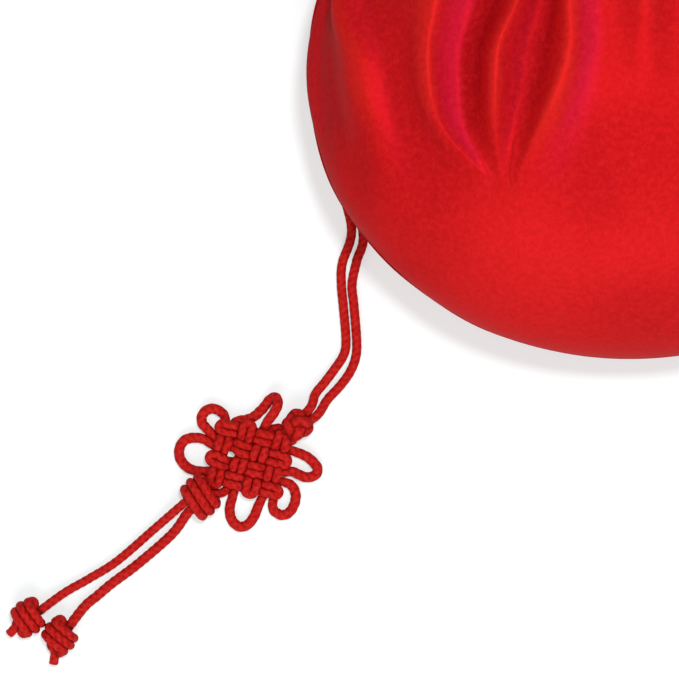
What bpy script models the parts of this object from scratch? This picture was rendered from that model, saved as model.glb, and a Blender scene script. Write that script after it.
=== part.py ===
"""Kinchaku drawstring pouch, lying on its back with one knotted double cord.

Metres, +Z up. The mouth points along +Y and the cord leaves the casing on the -X side.
The bag is two satin panels sewn along their sides and round bottom, with an inner facing
that makes the casing for the cord. Both ends of the cord leave the casing through a slit
in the side seam, run under the bag's edge, and are tied into a button knot, a woven
endless knot with six ears, a wrapped knot and two end knots.
"""
import math

import bpy
import numpy as np

# Bag, outer sizes
BAG_WIDTH = 0.134
BELLY_LENGTH = 0.057
SHOULDER_LENGTH = 0.069
CASING_LENGTH = 0.010
RUFFLE_LENGTH = 0.023
BAG_HEIGHT = 0.056
BACK_DEPTH = 0.0265
CLOTH = 0.0005
SEAM_GAP = 0.0003
SEAM_ALLOWANCE = 0.003
NECK_ALLOWANCE = 0.0012

# Height of the side seam above the floor
SEAM_HEIGHT_BOTTOM = 0.018
SEAM_HEIGHT_MIDDLE = 0.024
SEAM_HEIGHT_NECK = 0.020
SEAM_HEIGHT_RIM = 0.018

# Draw cord, and how far it is squeezed inside a knot
CORD_DIAMETER = 0.002
CORD_GAP = 0.0003
KNOT_GAP = 0.0001
WEAVE_SQUEEZE = 0.64
EXIT_SPREAD = 1.15
BUTTON_SQUEEZE = 0.85
WRAP_SQUEEZE = 0.9
END_SQUEEZE = 0.78

# Casing: the drawn cord ring sets the neck
CORD_RING_RADIUS = 0.009
CORD_RING_PITCH = 0.0024
NECK_RIPPLE = 0.001
STITCH_RIPPLE = 0.0007
STITCH_PINCH = 0.0014
FACING_CLOTH = 0.0004
FACING_OVERLAP = 0.0015
FACING_FLARE = 0.0014
FACING_RIPPLE = 0.00025
FACING_PLEATS = 20
SLIT_HALF_HEIGHT = 0.0024
RUFFLE_HALF_WIDTH = 0.030
RUFFLE_HALF_HEIGHT = 0.0145
RUFFLE_WAVE = 0.0024

# Sections: 2 is an ellipse, more is squarer
FRONT_POWER = 2.2
BACK_POWER = 2.8
SHOULDER_POWER = 2.2
SHOULDER_ROUND = 1.6

# Pleats on the left half of the front, as the cloth falls. Each ridge has its angle from
# the left seam in degrees at the four stations below the neck, its rise, the depth of the
# valley after it, and how far below the neck it fades out.
STATIONS = (0.0, 0.034, 0.060, 0.093)
FRONT_RIDGES = (
    ((0, 0, 0, 0), 0.0008, 0.0012, 0.095),
    ((20, 24, 33, 33), 0.0018, 0.0010, 0.100),
    ((38, 51, 55, 60), 0.0022, 0.0028, 0.098),
    ((56, 68, 65, 64.5), 0.0018, 0.0024, 0.095),
    ((73, 78, 74, 69), 0.0018, 0.0014, 0.092),
    ((90, 89, 89, 90), 0.0020, 0.0014, 0.070),
)
BACK_PLEATS = 6
BACK_RISE = 0.0008
BACK_REACH = 0.075
FOLD_START = 0.024

# Rows of the cloth grid from the bottom (0) over the widest place (1), the lower stitch
# line (2) and the upper stitch line (3) to the rim (4)
BELLY_ROWS = 6
SHOULDER_ROWS = 10
CASING_ROWS = (2.3, 2.7, 3.0)
RUFFLE_ROWS = (3.15, 3.4, 3.7, 4.0)

# Endless knot: place and turn on the floor, in plan
KNOT_CENTRE = (-0.0808, -0.1007)
KNOT_TURN = -14.5
COLUMN_GAP = 0.0021
ROW_GAP = 0.0021
WEAVE_LIFT = 0.00135
WEAVE_HOLD = 0.00028
CLOSED_END_RADIUS = 0.0009
CLOSED_END_REACH = 0.0002
FLOOR_CLEARANCE = 0.00005

# Button knot and wrapped knot in the endless knot's own plan, ends of turns and size
BUTTON_PLACE = (0.0086, 0.0101)
BUTTON_AXIS = (-0.585, -0.812)
BUTTON_TURNS = 2.5
BUTTON_SWELL = 0.00035
WRAP_PLACE = (-0.0079, -0.0111)
WRAP_AXIS = (-0.607, -0.797)
WRAP_TURNS = 2.5
WRAP_SWELL = 0.0003

# End knots on the floor, in the bag's plan
END_KNOT_A = ((-0.1276, -0.1350), (-0.755, -0.656))
END_KNOT_B = ((-0.1208, -0.1390), (-0.550, -0.835))
END_TURNS = 2.5
END_STUB = 0.0028

# Cord routes between the fixed places, chosen by hand
ROUTE_A = (
    (-0.0170, 0.0526, 0.0192),
    (-0.0212, 0.0522, 0.0150),
    (-0.0250, 0.0512, 0.0090),
    (-0.0295, 0.0486, 0.0035),
    (-0.0350, 0.0440, 0.0013),
    (-0.0436, 0.0350, 0.00105),
    (-0.0515, 0.0230, 0.00105),
    (-0.0572, 0.0080, 0.00105),
    (-0.0602, -0.0100, 0.00105),
    (-0.0612, -0.0270, 0.00105),
    (-0.0605, -0.0410, 0.00105),
    (-0.0582, -0.0518, 0.00105),
    (-0.0602, -0.0590, 0.00105),
    (-0.0604, -0.0635, 0.00105),
    (-0.0600, -0.0680, 0.00105),
    (-0.0594, -0.0755, 0.00105),
    (-0.0599, -0.0787, 0.00105),
    (-0.0619, -0.0818, 0.00105),
    (-0.0640, -0.0846, 0.0012),
    (-0.0660, -0.0871, 0.0018),
)
ROUTE_B = (
    (-0.0168, 0.0500, 0.0190),
    (-0.0205, 0.0492, 0.0146),
    (-0.0240, 0.0478, 0.0086),
    (-0.0282, 0.0452, 0.0033),
    (-0.0334, 0.0410, 0.0013),
    (-0.0415, 0.0325, 0.00105),
    (-0.0490, 0.0212, 0.00105),
    (-0.0546, 0.0070, 0.00105),
    (-0.0578, -0.0105, 0.00105),
    (-0.0588, -0.0272, 0.00105),
    (-0.0580, -0.0412, 0.00105),
    (-0.0557, -0.0530, 0.00105),
    (-0.0571, -0.0585, 0.00105),
    (-0.0581, -0.0635, 0.00105),
    (-0.0577, -0.0680, 0.00105),
    (-0.0571, -0.0755, 0.00105),
    (-0.0573, -0.0792, 0.00105),
    (-0.0586, -0.0825, 0.00105),
    (-0.0608, -0.0855, 0.0012),
    (-0.0634, -0.0883, 0.0018),
)
TAIL_A = (
    (-0.1005, -0.1160, 0.00125),
    (-0.1086, -0.1230, 0.00105),
    (-0.1150, -0.1270, 0.00105),
    (-0.1202, -0.1300, 0.0014),
)
TAIL_B = (
    (-0.0968, -0.1172, 0.00125),
    (-0.1041, -0.1236, 0.00105),
    (-0.1097, -0.1278, 0.00105),
    (-0.1129, -0.1305, 0.00105),
    (-0.1158, -0.1330, 0.0014),
)

# Ears of the endless knot in its own plan: x, y and height above the floor
EAR_TOP = (
    (0.0013, 0.0077, 0.0015),
    (0.0022, 0.0096, 0.0028),
    (0.0029, 0.0121, 0.0036),
    (0.0031, 0.0138, 0.0027),
    (0.0021, 0.0134, 0.0012),
    (0.0008, 0.0115, 0.00105),
    (-0.0005, 0.0098, 0.00105),
    (-0.0023, 0.0084, 0.00105),
    (-0.0040, 0.0074, 0.00105),
)
EAR_TOP_LEFT = (
    (-0.0061, 0.0073, 0.00105),
    (-0.0073, 0.0087, 0.00105),
    (-0.0093, 0.0091, 0.00105),
    (-0.0114, 0.0080, 0.00105),
    (-0.0122, 0.0058, 0.00105),
    (-0.0114, 0.0041, 0.00105),
    (-0.0098, 0.0031, 0.00105),
    (-0.0078, 0.0026, 0.00105),
)
EAR_LEFT = (
    (-0.0080, 0.0010, 0.00105),
    (-0.0112, 0.0011, 0.00105),
    (-0.0137, 0.0003, 0.00105),
    (-0.0147, -0.0023, 0.00105),
    (-0.0134, -0.0046, 0.00105),
    (-0.0108, -0.0056, 0.00105),
    (-0.0087, -0.0053, 0.00105),
    (-0.0074, -0.0045, 0.00105),
)
EAR_RIGHT = (
    (0.0077, 0.0042, 0.00105),
    (0.0098, 0.0039, 0.00105),
    (0.0130, 0.0034, 0.00105),
    (0.0151, 0.0017, 0.00105),
    (0.0146, -0.0004, 0.00105),
    (0.0122, -0.0007, 0.00105),
    (0.0097, 0.0000, 0.00105),
    (0.0078, -0.0007, 0.00105),
)
EAR_BOTTOM_RIGHT = (
    (0.0079, -0.0023, 0.00105),
    (0.0099, -0.0026, 0.00105),
    (0.0120, -0.0045, 0.00105),
    (0.0127, -0.0073, 0.00105),
    (0.0116, -0.0098, 0.00105),
    (0.0094, -0.0105, 0.00105),
    (0.0073, -0.0092, 0.00105),
    (0.0064, -0.0074, 0.00105),
)
EAR_BOTTOM = (
    (0.0046, -0.0073, 0.00105),
    (0.0049, -0.0096, 0.00105),
    (0.0044, -0.0126, 0.00105),
    (0.0022, -0.0146, 0.00105),
    (-0.0003, -0.0139, 0.00105),
    (-0.0013, -0.0111, 0.00105),
    (-0.0013, -0.0084, 0.00105),
)

# Smoothness of the cord tubes
CURVE_STEP = 0.00015
MOST_TURN = math.radians(34)
LONGEST_STEP = 0.006
COIL_POINTS = 10

# Derived sizes
HALF_WIDTH = BAG_WIDTH / 2
FRONT_RISE = BAG_HEIGHT - SEAM_HEIGHT_MIDDLE
BAG_LENGTH = BELLY_LENGTH + SHOULDER_LENGTH + CASING_LENGTH + RUFFLE_LENGTH
Y_BOTTOM = -BAG_LENGTH / 2
Y_NECK = Y_BOTTOM + BELLY_LENGTH + SHOULDER_LENGTH + CASING_LENGTH / 2
CORD_RADIUS = CORD_DIAMETER / 2
CASING_RADIUS = CORD_RING_RADIUS + CORD_RADIUS + CORD_GAP + CLOTH + NECK_RIPPLE
STITCH_RADIUS = CASING_RADIUS - STITCH_PINCH
WEAVE_RADIUS = WEAVE_SQUEEZE * CORD_RADIUS
WEAVE_PITCH = 2 * WEAVE_RADIUS + KNOT_GAP
WEAVE_LOW = CORD_RADIUS + FLOOR_CLEARANCE
WEAVE_MIDDLE = WEAVE_LOW + WEAVE_LIFT

RED_SATIN = (0.58, 0.010, 0.016)
RED_FACING = (0.46, 0.008, 0.012)
RED_CORD = (0.47, 0.011, 0.012)


def clear_scene():
    for item in list(bpy.data.objects):
        bpy.data.objects.remove(item)


def make_material(name, colour, roughness):
    material = bpy.data.materials.new(name)
    material.use_nodes = True
    shader = material.node_tree.nodes["Principled BSDF"]
    shader.inputs["Base Color"].default_value = (*colour, 1)
    shader.inputs["Roughness"].default_value = roughness
    shader.inputs["Metallic"].default_value = 0
    return material


def ease(value):
    """Smooth step from 0 to 1."""
    value = np.clip(value, 0, 1)
    return value * value * (3 - 2 * value)


def through(stations, values, places):
    """Read a smooth curve through the values at the stations, at the given places."""
    stations = np.asarray(stations, float)
    values = np.asarray(values, float)
    slopes = np.gradient(values, stations, axis=-1)
    places = np.clip(places, stations[0], stations[-1])
    left = np.clip(np.searchsorted(stations, places, side="right") - 1, 0, len(stations) - 2)
    span = stations[left + 1] - stations[left]
    t = (places - stations[left]) / span
    return (
        values[..., left] * (2 * t ** 3 - 3 * t ** 2 + 1)
        + slopes[..., left] * span * (t ** 3 - 2 * t ** 2 + t)
        + values[..., left + 1] * (3 * t ** 2 - 2 * t ** 3)
        + slopes[..., left + 1] * span * (t ** 3 - t ** 2)
    )


def grid_rows():
    """Row values from the bottom to the rim, without the bottom point itself."""
    belly = np.arange(1, BELLY_ROWS + 1) / BELLY_ROWS
    shoulder = 1 + np.arange(1, SHOULDER_ROWS + 1) / SHOULDER_ROWS
    return np.concatenate([belly, shoulder, CASING_ROWS, RUFFLE_ROWS])


def along(row):
    """Place along Y of a row: a quarter ellipse, a shoulder, the casing and the ruffle."""
    belly = np.clip(row, 0, 1) * math.pi / 2
    shoulder = np.clip(row - 1, 0, 1) * math.pi / 2
    casing = np.clip(row - 2, 0, 1)
    ruffle = np.clip(row - 3, 0, 1)
    return (
        Y_BOTTOM
        + BELLY_LENGTH * (1 - np.cos(belly))
        + SHOULDER_LENGTH * np.sin(shoulder) ** (2 / SHOULDER_POWER)
        + CASING_LENGTH * casing
        + RUFFLE_LENGTH * ruffle
    )


def reach_out(row, body, rim):
    """Half size of the section at a row, from the bottom through the neck to the rim."""
    belly = np.clip(row, 0, 1) * math.pi / 2
    shoulder = np.clip(row - 1, 0, 1) * math.pi / 2
    casing = np.clip(row - 2, 0, 1)
    ruffle = np.clip(row - 3, 0, 1)
    return (
        body * np.sin(belly)
        - (body - STITCH_RADIUS) * (1 - np.maximum(np.cos(shoulder), 0) ** SHOULDER_ROUND)
        + STITCH_PINCH * np.maximum(np.sin(math.pi * casing), 0) ** 0.4
        + (rim - STITCH_RADIUS) * np.sin(ruffle * math.pi / 2) ** 1.3
    )


def seam_height(row):
    belly = np.sin(np.clip(row, 0, 1) * math.pi / 2)
    neck = ease((row - 1) / 1.0)
    ruffle = ease(row - 3)
    return (
        SEAM_HEIGHT_BOTTOM
        + (SEAM_HEIGHT_MIDDLE - SEAM_HEIGHT_BOTTOM) * belly
        + (SEAM_HEIGHT_NECK - SEAM_HEIGHT_MIDDLE) * neck
        + (SEAM_HEIGHT_RIM - SEAM_HEIGHT_NECK) * ruffle
    )


def bag_point(side, angle, row):
    """Point of the plain bag: a squared ellipse in X and Z at the row's place along Y."""
    body = FRONT_RISE if side > 0 else BACK_DEPTH
    squareness = FRONT_POWER if side > 0 else BACK_POWER
    power = 2 + (squareness - 2) * (1 - ease((row - 1) / 0.9))
    across = np.cos(angle)
    rise = np.maximum(np.sin(angle), 0)
    size = (np.abs(across) ** power + rise ** power) ** (-1 / power)
    x = -reach_out(row, HALF_WIDTH, RUFFLE_HALF_WIDTH) * across * size
    z = seam_height(row) + side * reach_out(row, body, RUFFLE_HALF_HEIGHT) * rise * size
    return np.stack([x, along(row) + 0 * x, z], -1)


def bag_normal(side, angle, row):
    """Outward normal of the plain bag from two small differences."""
    turn = 0.002
    step = 0.002
    inner = np.clip(angle, turn, math.pi - turn)
    by_angle = bag_point(side, inner + turn, row) - bag_point(side, inner - turn, row)
    by_row = bag_point(side, inner, row + step) - bag_point(side, inner, row - step)
    normal = side * np.cross(by_angle, by_row)
    return normal / np.maximum(np.linalg.norm(normal, axis=-1, keepdims=True), 1e-12)


def fold_table(side):
    """Angles, heights and reaches of every ridge and valley from the left to the right seam."""
    if side > 0:
        left = FRONT_RIDGES
        angles = [np.radians(ridge[0]) for ridge in left]
        angles += [math.pi - np.radians(ridge[0]) for ridge in left[-2::-1]]
        rises = [ridge[1] for ridge in left] + [ridge[1] for ridge in left[-2::-1]]
        depths = [ridge[2] for ridge in left[:-1]] + [ridge[2] for ridge in left[-2::-1]]
        reaches = [ridge[3] for ridge in left] + [ridge[3] for ridge in left[-2::-1]]
    else:
        even = np.arange(BACK_PLEATS + 1) / BACK_PLEATS * math.pi
        angles = [np.full(len(STATIONS), angle) for angle in even]
        rises = [BACK_RISE] * (BACK_PLEATS + 1)
        depths = [BACK_RISE] * BACK_PLEATS
        reaches = [BACK_REACH] * (BACK_PLEATS + 1)
    count = 2 * len(angles) - 1
    places = np.zeros((count, len(STATIONS)))
    heights = np.zeros(count)
    fades = np.zeros(count)
    places[0::2] = angles
    places[1::2] = (places[0:-2:2] + places[2::2]) / 2
    heights[0::2] = rises
    heights[1::2] = -np.asarray(depths)
    fades[0::2] = reaches
    fades[1::2] = (fades[0:-2:2] + fades[2::2]) / 2
    return places, heights, fades


def slit_shift(angle, row):
    """Turn of the panel's edge away from the left seam, which opens the cord slit."""
    height = SLIT_HALF_HEIGHT * np.clip(1 - (np.abs(row - 2.5) - 0.2) / 0.3, 0, 1)
    edge = height / CASING_RADIUS
    fade = np.clip(1 - angle / math.radians(60), 0, 1) ** 2
    return edge * fade


def cloth_surface(side, phase, row):
    """Pleated outer surface. Phase counts ridges and valleys from the left seam."""
    places, heights, fades = fold_table(side)
    below = Y_NECK - along(row)
    angles = through(STATIONS, places, below[:, 0])
    lower = np.minimum(phase.astype(int), len(heights) - 2)
    part = phase - lower
    line = np.arange(row.shape[0])[:, None]
    angle = angles[lower, line] * (1 - part) + angles[lower + 1, line] * part
    angle = angle + slit_shift(angle, row)
    neck = np.where(np.abs(row - 2.5) < 0.45, NECK_RIPPLE, STITCH_RIPPLE)
    ripple = neck + (RUFFLE_WAVE - neck) * ease(row - 3)
    grown = ease((below - CASING_LENGTH / 2) / FOLD_START)
    sign = np.sign(heights)

    def height(index):
        start = 0.4 * fades[index]
        fade = 1 - ease((below - start) / (fades[index] - start))
        return (sign[index] * ripple * (1 - grown) + heights[index] * grown) * fade

    blend = (1 - np.cos(math.pi * part)) / 2
    rise = height(lower) * (1 - blend) + height(lower + 1) * blend
    points = bag_point(side, angle, row) + rise[..., None] * bag_normal(side, angle, row)
    points[..., 1] = np.where(row >= 4, -Y_BOTTOM, points[..., 1])
    points[..., 2] += side * SEAM_GAP / 2
    points[..., 2] = np.maximum(points[..., 2], 0)
    return points


def seam_flange(edge, normal, row):
    """Points of the seam allowance: the edge moved straight in, level."""
    level = normal.copy()
    level[..., 2] = 0
    level /= np.linalg.norm(level, axis=-1, keepdims=True)
    width = SEAM_ALLOWANCE + (NECK_ALLOWANCE - SEAM_ALLOWANCE) * ease((row - 1.4) / 0.5)
    width = np.minimum(width, SEAM_ALLOWANCE * ease(row / 0.12) + 0.0015)
    return edge - level * width[..., None]


def panel_grid(side):
    """Rows by columns of points, with a seam allowance column at each side."""
    rows = grid_rows()
    folds = 2 * (len(FRONT_RIDGES) - 1) * 2 if side > 0 else 2 * BACK_PLEATS
    phases = np.arange(2 * folds + 1) / 2
    row, phase = np.meshgrid(rows, phases, indexing="ij")
    points = cloth_surface(side, phase, row)
    left = seam_flange(points[:, 0], bag_normal(side, 0 * rows, rows), rows)
    right = seam_flange(points[:, -1], bag_normal(side, 0 * rows + math.pi, rows), rows)
    return np.concatenate([left[:, None], points, right[:, None]], axis=1)


def cloth_object(name, grid, bottom, flange_bottom, side, material, parts):
    """Open surface from a grid closed to a point at the bottom, with a Solidify wall."""
    count_rows, count_columns = grid.shape[:2]
    vertices = [tuple(point) for point in grid.reshape(-1, 3)]
    pole = len(vertices)
    vertices += [bottom, flange_bottom]
    inner_pole = pole + 1

    def at(row, column):
        return row * count_columns + column

    faces = []
    for row in range(count_rows - 1):
        for column in range(count_columns - 1):
            faces.append((at(row, column), at(row, column + 1),
                          at(row + 1, column + 1), at(row + 1, column)))
    last = count_columns - 1
    faces.append((inner_pole, pole, at(0, 1), at(0, 0)))
    faces.append((pole, inner_pole, at(0, last), at(0, last - 1)))
    for column in range(1, last - 1):
        faces.append((pole, at(0, column + 1), at(0, column)))
    if side < 0:
        faces = [face[::-1] for face in faces]
    mesh = bpy.data.meshes.new(name)
    mesh.from_pydata(vertices, [], faces)
    mesh.materials.append(material)
    mesh.shade_smooth()
    cloth = bpy.data.objects.new(name, mesh)
    parts.objects.link(cloth)
    wall = cloth.modifiers.new("cloth", "SOLIDIFY")
    wall.thickness = CLOTH
    wall.offset = -1
    return cloth


def panel(name, side, material, parts):
    grid = panel_grid(side)
    height = SEAM_HEIGHT_BOTTOM + side * SEAM_GAP / 2
    bottom = (0, Y_BOTTOM, height)
    flange_bottom = (0, Y_BOTTOM + SEAM_ALLOWANCE, height)
    return cloth_object(name, grid, bottom, flange_bottom, side, material, parts)


def facing(name, material, parts):
    """Gathered ring inside the casing: outer radius least at the cord, more at its edges."""
    half = CASING_LENGTH / 2 + FACING_OVERLAP
    rows = np.array([-1.0, -0.5, 0.0, 0.5, 1.0])
    columns = np.arange(2 * FACING_PLEATS)
    row, column = np.meshgrid(rows, columns, indexing="ij")
    angle = column * math.pi / FACING_PLEATS
    least = CORD_RING_RADIUS - CORD_RADIUS - CORD_GAP
    radius = least + FACING_FLARE * row ** 2 - FACING_RIPPLE * (column % 2)
    vertices = np.stack([
        radius * np.cos(angle),
        Y_NECK + half * row,
        SEAM_HEIGHT_NECK + radius * np.sin(angle),
    ], -1).reshape(-1, 3)
    count = len(columns)
    faces = []
    for line in range(len(rows) - 1):
        for place in range(count):
            following = (place + 1) % count
            faces.append((line * count + place, (line + 1) * count + place,
                          (line + 1) * count + following, line * count + following))
    mesh = bpy.data.meshes.new(name)
    mesh.from_pydata([tuple(vertex) for vertex in vertices], [], faces)
    mesh.materials.append(material)
    ring = bpy.data.objects.new(name, mesh)
    parts.objects.link(ring)
    wall = ring.modifiers.new("cloth", "SOLIDIFY")
    wall.thickness = FACING_CLOTH
    wall.offset = -1
    return ring


def smooth_path(points, before=None, after=None):
    """Fine Catmull-Rom curve through rows of x, y, z and radius."""
    points = np.asarray(points, float)
    first = 2 * points[0] - points[1] if before is None else before
    last = 2 * points[-1] - points[-2] if after is None else after
    full = np.vstack([first, points, last])
    pieces = []
    for index in range(1, len(full) - 2):
        a, b, c, d = full[index - 1:index + 3]
        count = max(2, int(np.linalg.norm(c[:3] - b[:3]) / CURVE_STEP))
        t = (np.arange(count) / count)[:, None]
        pieces.append(0.5 * (2 * b + (c - a) * t + (2 * a - 5 * b + 4 * c - d) * t ** 2
                             + (3 * b - a - 3 * c + d) * t ** 3))
    return np.vstack(pieces + [points[-1:]])


def thin_path(path, most_turn=MOST_TURN, longest=LONGEST_STEP):
    """Keep the points where the path has turned or run far enough since the last one."""
    steps = np.diff(path[:, :3], axis=0)
    headings = steps / np.linalg.norm(steps, axis=1, keepdims=True)
    kept = [0]
    turned = 0.0
    run = 0.0
    for index in range(1, len(headings)):
        turned += math.acos(float(np.clip(headings[index] @ headings[index - 1], -1, 1)))
        run += float(np.linalg.norm(steps[index - 1]))
        if turned > most_turn or run > longest:
            kept.append(index)
            turned = 0.0
            run = 0.0
    if len(kept) > 1 and np.linalg.norm(path[-1, :3] - path[kept[-1], :3]) < CORD_RADIUS / 2:
        kept.pop()
    return path[kept + [len(path) - 1]]


def tube(name, points, material, parts):
    """Cord with filled ends along rows of x, y, z and radius."""
    curve = bpy.data.curves.new(name, "CURVE")
    curve.dimensions = "3D"
    curve.bevel_depth = CORD_RADIUS
    curve.bevel_resolution = 2
    curve.use_fill_caps = True
    curve.materials.append(material)
    spline = curve.splines.new("POLY")
    spline.points.add(len(points) - 1)
    for place, (x, y, z, radius) in zip(spline.points, points):
        place.co = (x, y, z, 1)
        place.radius = radius / CORD_RADIUS
    cord = bpy.data.objects.new(name, curve)
    parts.objects.link(cord)
    return cord


def with_radius(points, radius=CORD_RADIUS):
    points = np.asarray(points, float)
    return np.column_stack([points, np.full(len(points), radius)])


def knot_frame():
    """Plan axes of the endless knot."""
    turn = math.radians(KNOT_TURN)
    return np.array([math.cos(turn), math.sin(turn)]), np.array([-math.sin(turn), math.cos(turn)])


def from_knot(points):
    """Points of the knot's own plan moved to the bag's frame; height and radius stay."""
    right, up = knot_frame()
    points = np.asarray(points, float)
    plan = np.asarray(KNOT_CENTRE) + points[:, :1] * right + points[:, 1:2] * up
    return np.column_stack([plan, points[:, 2:]])


def knot_axes(place, axis):
    """Centre, axis and sideways direction in the bag's plan of a knot beside the weave."""
    right, up = knot_frame()
    axis = np.asarray(axis) / np.linalg.norm(axis)
    centre = np.asarray(KNOT_CENTRE) + place[0] * right + place[1] * up
    forward = axis[0] * right + axis[1] * up
    return centre, forward, np.array([-forward[1], forward[0]])


def coil_half_sizes(cord, strand, swell=0.0):
    """Half width and height of the centreline of a coil round two strands side by side."""
    apart = strand + KNOT_GAP / 2
    flats = math.cos(math.pi / COIL_POINTS)
    width = (apart + strand + KNOT_GAP + cord) / flats + swell
    height = (strand + KNOT_GAP + 1.25 * cord) / flats + swell
    return width, height


BUTTON_CORD = BUTTON_SQUEEZE * CORD_RADIUS
BUTTON_HALVES = coil_half_sizes(BUTTON_CORD, WEAVE_RADIUS)
BUTTON_HEIGHT = BUTTON_HALVES[1] + BUTTON_SWELL + BUTTON_CORD + FLOOR_CLEARANCE
BUTTON_HALF_LENGTH = (BUTTON_TURNS * (2 * BUTTON_CORD + KNOT_GAP) + 2 * BUTTON_CORD) / 2
WRAP_CORD = WRAP_SQUEEZE * CORD_RADIUS
WRAP_HALVES = coil_half_sizes(WRAP_CORD, CORD_RADIUS)
WRAP_HEIGHT = WRAP_HALVES[1] + WRAP_SWELL + WRAP_CORD + FLOOR_CLEARANCE
WRAP_HALF_LENGTH = (WRAP_TURNS * (2 * WRAP_CORD + KNOT_GAP) + 2 * WRAP_CORD) / 2


def coil(place, axis, height, halves, cord, turns, swell, start):
    """Open coil round the strands, swollen in its middle by a half wave."""
    centre, forward, sideways = knot_axes(place, axis)
    count = int(turns * COIL_POINTS)
    t = np.arange(count + 1) / count
    angle = 2 * math.pi * turns * t + start
    grow = swell * np.sin(math.pi * t)
    lengthways = (t - 0.5) * turns * (2 * cord + KNOT_GAP)
    out = (halves[0] + grow) * np.cos(angle)
    plan = centre + lengthways[:, None] * forward + out[:, None] * sideways
    level = height + (halves[1] + grow) * np.sin(angle)
    return np.column_stack([plan, level, np.full(count + 1, cord)])


def beside(place, axis, height, lengthways, apart, radius):
    """One point at a distance along and beside the axis of a knot."""
    centre, forward, sideways = knot_axes(place, axis)
    plan = centre + lengthways * forward + apart * sideways
    return np.array([plan[0], plan[1], height, radius])


def line_places(gap):
    """Eight lines in four pairs, centred, from the positive side."""
    steps = [WEAVE_PITCH, gap] * 3 + [WEAVE_PITCH]
    places = np.concatenate([[0], np.cumsum(steps)])
    return places[-1] / 2 - places


COLUMNS = line_places(COLUMN_GAP)
ROWS = line_places(ROW_GAP)


def column_line(index, down):
    """Crossings of one upright line with the eight level lines."""
    order = range(8) if down else range(7, -1, -1)
    line = []
    for other in order:
        over = (index // 2 + other // 2) % 2 == 0
        level = WEAVE_MIDDLE + (WEAVE_LIFT if over else -WEAVE_LIFT)
        hold = WEAVE_HOLD if other % 2 == 0 else -WEAVE_HOLD
        line.append((COLUMNS[index], ROWS[other] + hold, level, WEAVE_RADIUS))
    return line


def row_line(index, leftward):
    """Crossings of one level line with the eight upright lines."""
    order = range(8) if leftward else range(7, -1, -1)
    line = []
    for other in order:
        over = (index // 2 + other // 2) % 2 == 1
        level = WEAVE_MIDDLE + (WEAVE_LIFT if over else -WEAVE_LIFT)
        hold = WEAVE_HOLD if other % 2 == 0 else -WEAVE_HOLD
        line.append((COLUMNS[other] + hold, ROWS[index], level, WEAVE_RADIUS))
    return line


def closed_end(start, end):
    """Round turn of the upper pair from one line to its neighbour, seen in plan."""
    start = np.asarray(start)
    end = np.asarray(end)
    middle = (start + end) / 2
    across = (start[:2] - end[:2]) / np.linalg.norm(start[:2] - end[:2])
    outward = np.sign(middle[:2]) * np.abs(across[::-1])
    points = []
    for angle in (0, 60, 120, 180):
        turn = math.radians(angle)
        plan = (middle[:2] + outward * (CLOSED_END_REACH + CLOSED_END_RADIUS * math.sin(turn))
                + across * CLOSED_END_RADIUS * math.cos(turn))
        points.append((plan[0], plan[1], middle[2], WEAVE_RADIUS))
    return points


def ear(line_before, points, line_after):
    """Loose loop outside the weave: full cord in its middle, squeezed at its feet."""
    share = np.linspace(0, 1, len(points) + 2)[1:-1]
    radius = WEAVE_RADIUS + (CORD_RADIUS - WEAVE_RADIUS) * ease(3.2 * np.minimum(share, 1 - share))
    controls = np.vstack([
        line_before[-1],
        np.column_stack([np.asarray(points), radius]),
        line_after[0],
    ])
    path = thin_path(smooth_path(controls, np.asarray(line_before[-2]), np.asarray(line_after[1])))
    return [tuple(point) for point in path[1:-1]]


def lead(points, line, leaving):
    """Smooth stretch between the weave and a neighbouring knot, in the knot's plan."""
    if leaving:
        controls = np.vstack([line[-1], points])
        path = thin_path(smooth_path(controls, before=np.asarray(line[-2])))
        return [tuple(point) for point in path[1:]]
    controls = np.vstack([points, line[0]])
    path = thin_path(smooth_path(controls, after=np.asarray(line[1])))
    return [tuple(point) for point in path[:-1]]


def in_knot_plan(point):
    """A point of the bag's frame in the endless knot's own plan."""
    right, up = knot_frame()
    offset = point[:2] - np.asarray(KNOT_CENTRE)
    return np.array([offset @ right, offset @ up, point[2], point[3]])


def button_strand(hand):
    """Way of one strand through the button knot, in the endless knot's plan."""
    apart = hand * (WEAVE_RADIUS + KNOT_GAP / 2)
    open_apart = hand * (CORD_RADIUS + KNOT_GAP)
    start = BUTTON_HALF_LENGTH + 2 * CORD_RADIUS
    points = [
        beside(BUTTON_PLACE, BUTTON_AXIS, BUTTON_HEIGHT - 0.0005, -start, open_apart, CORD_RADIUS),
        beside(BUTTON_PLACE, BUTTON_AXIS, BUTTON_HEIGHT, -BUTTON_HALF_LENGTH - CORD_RADIUS / 2,
               apart, WEAVE_RADIUS),
        beside(BUTTON_PLACE, BUTTON_AXIS, BUTTON_HEIGHT, 0, apart, WEAVE_RADIUS),
        beside(BUTTON_PLACE, BUTTON_AXIS, BUTTON_HEIGHT - 0.0002, BUTTON_HALF_LENGTH,
               EXIT_SPREAD * apart, WEAVE_RADIUS),
    ]
    return [in_knot_plan(point) for point in points]


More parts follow.
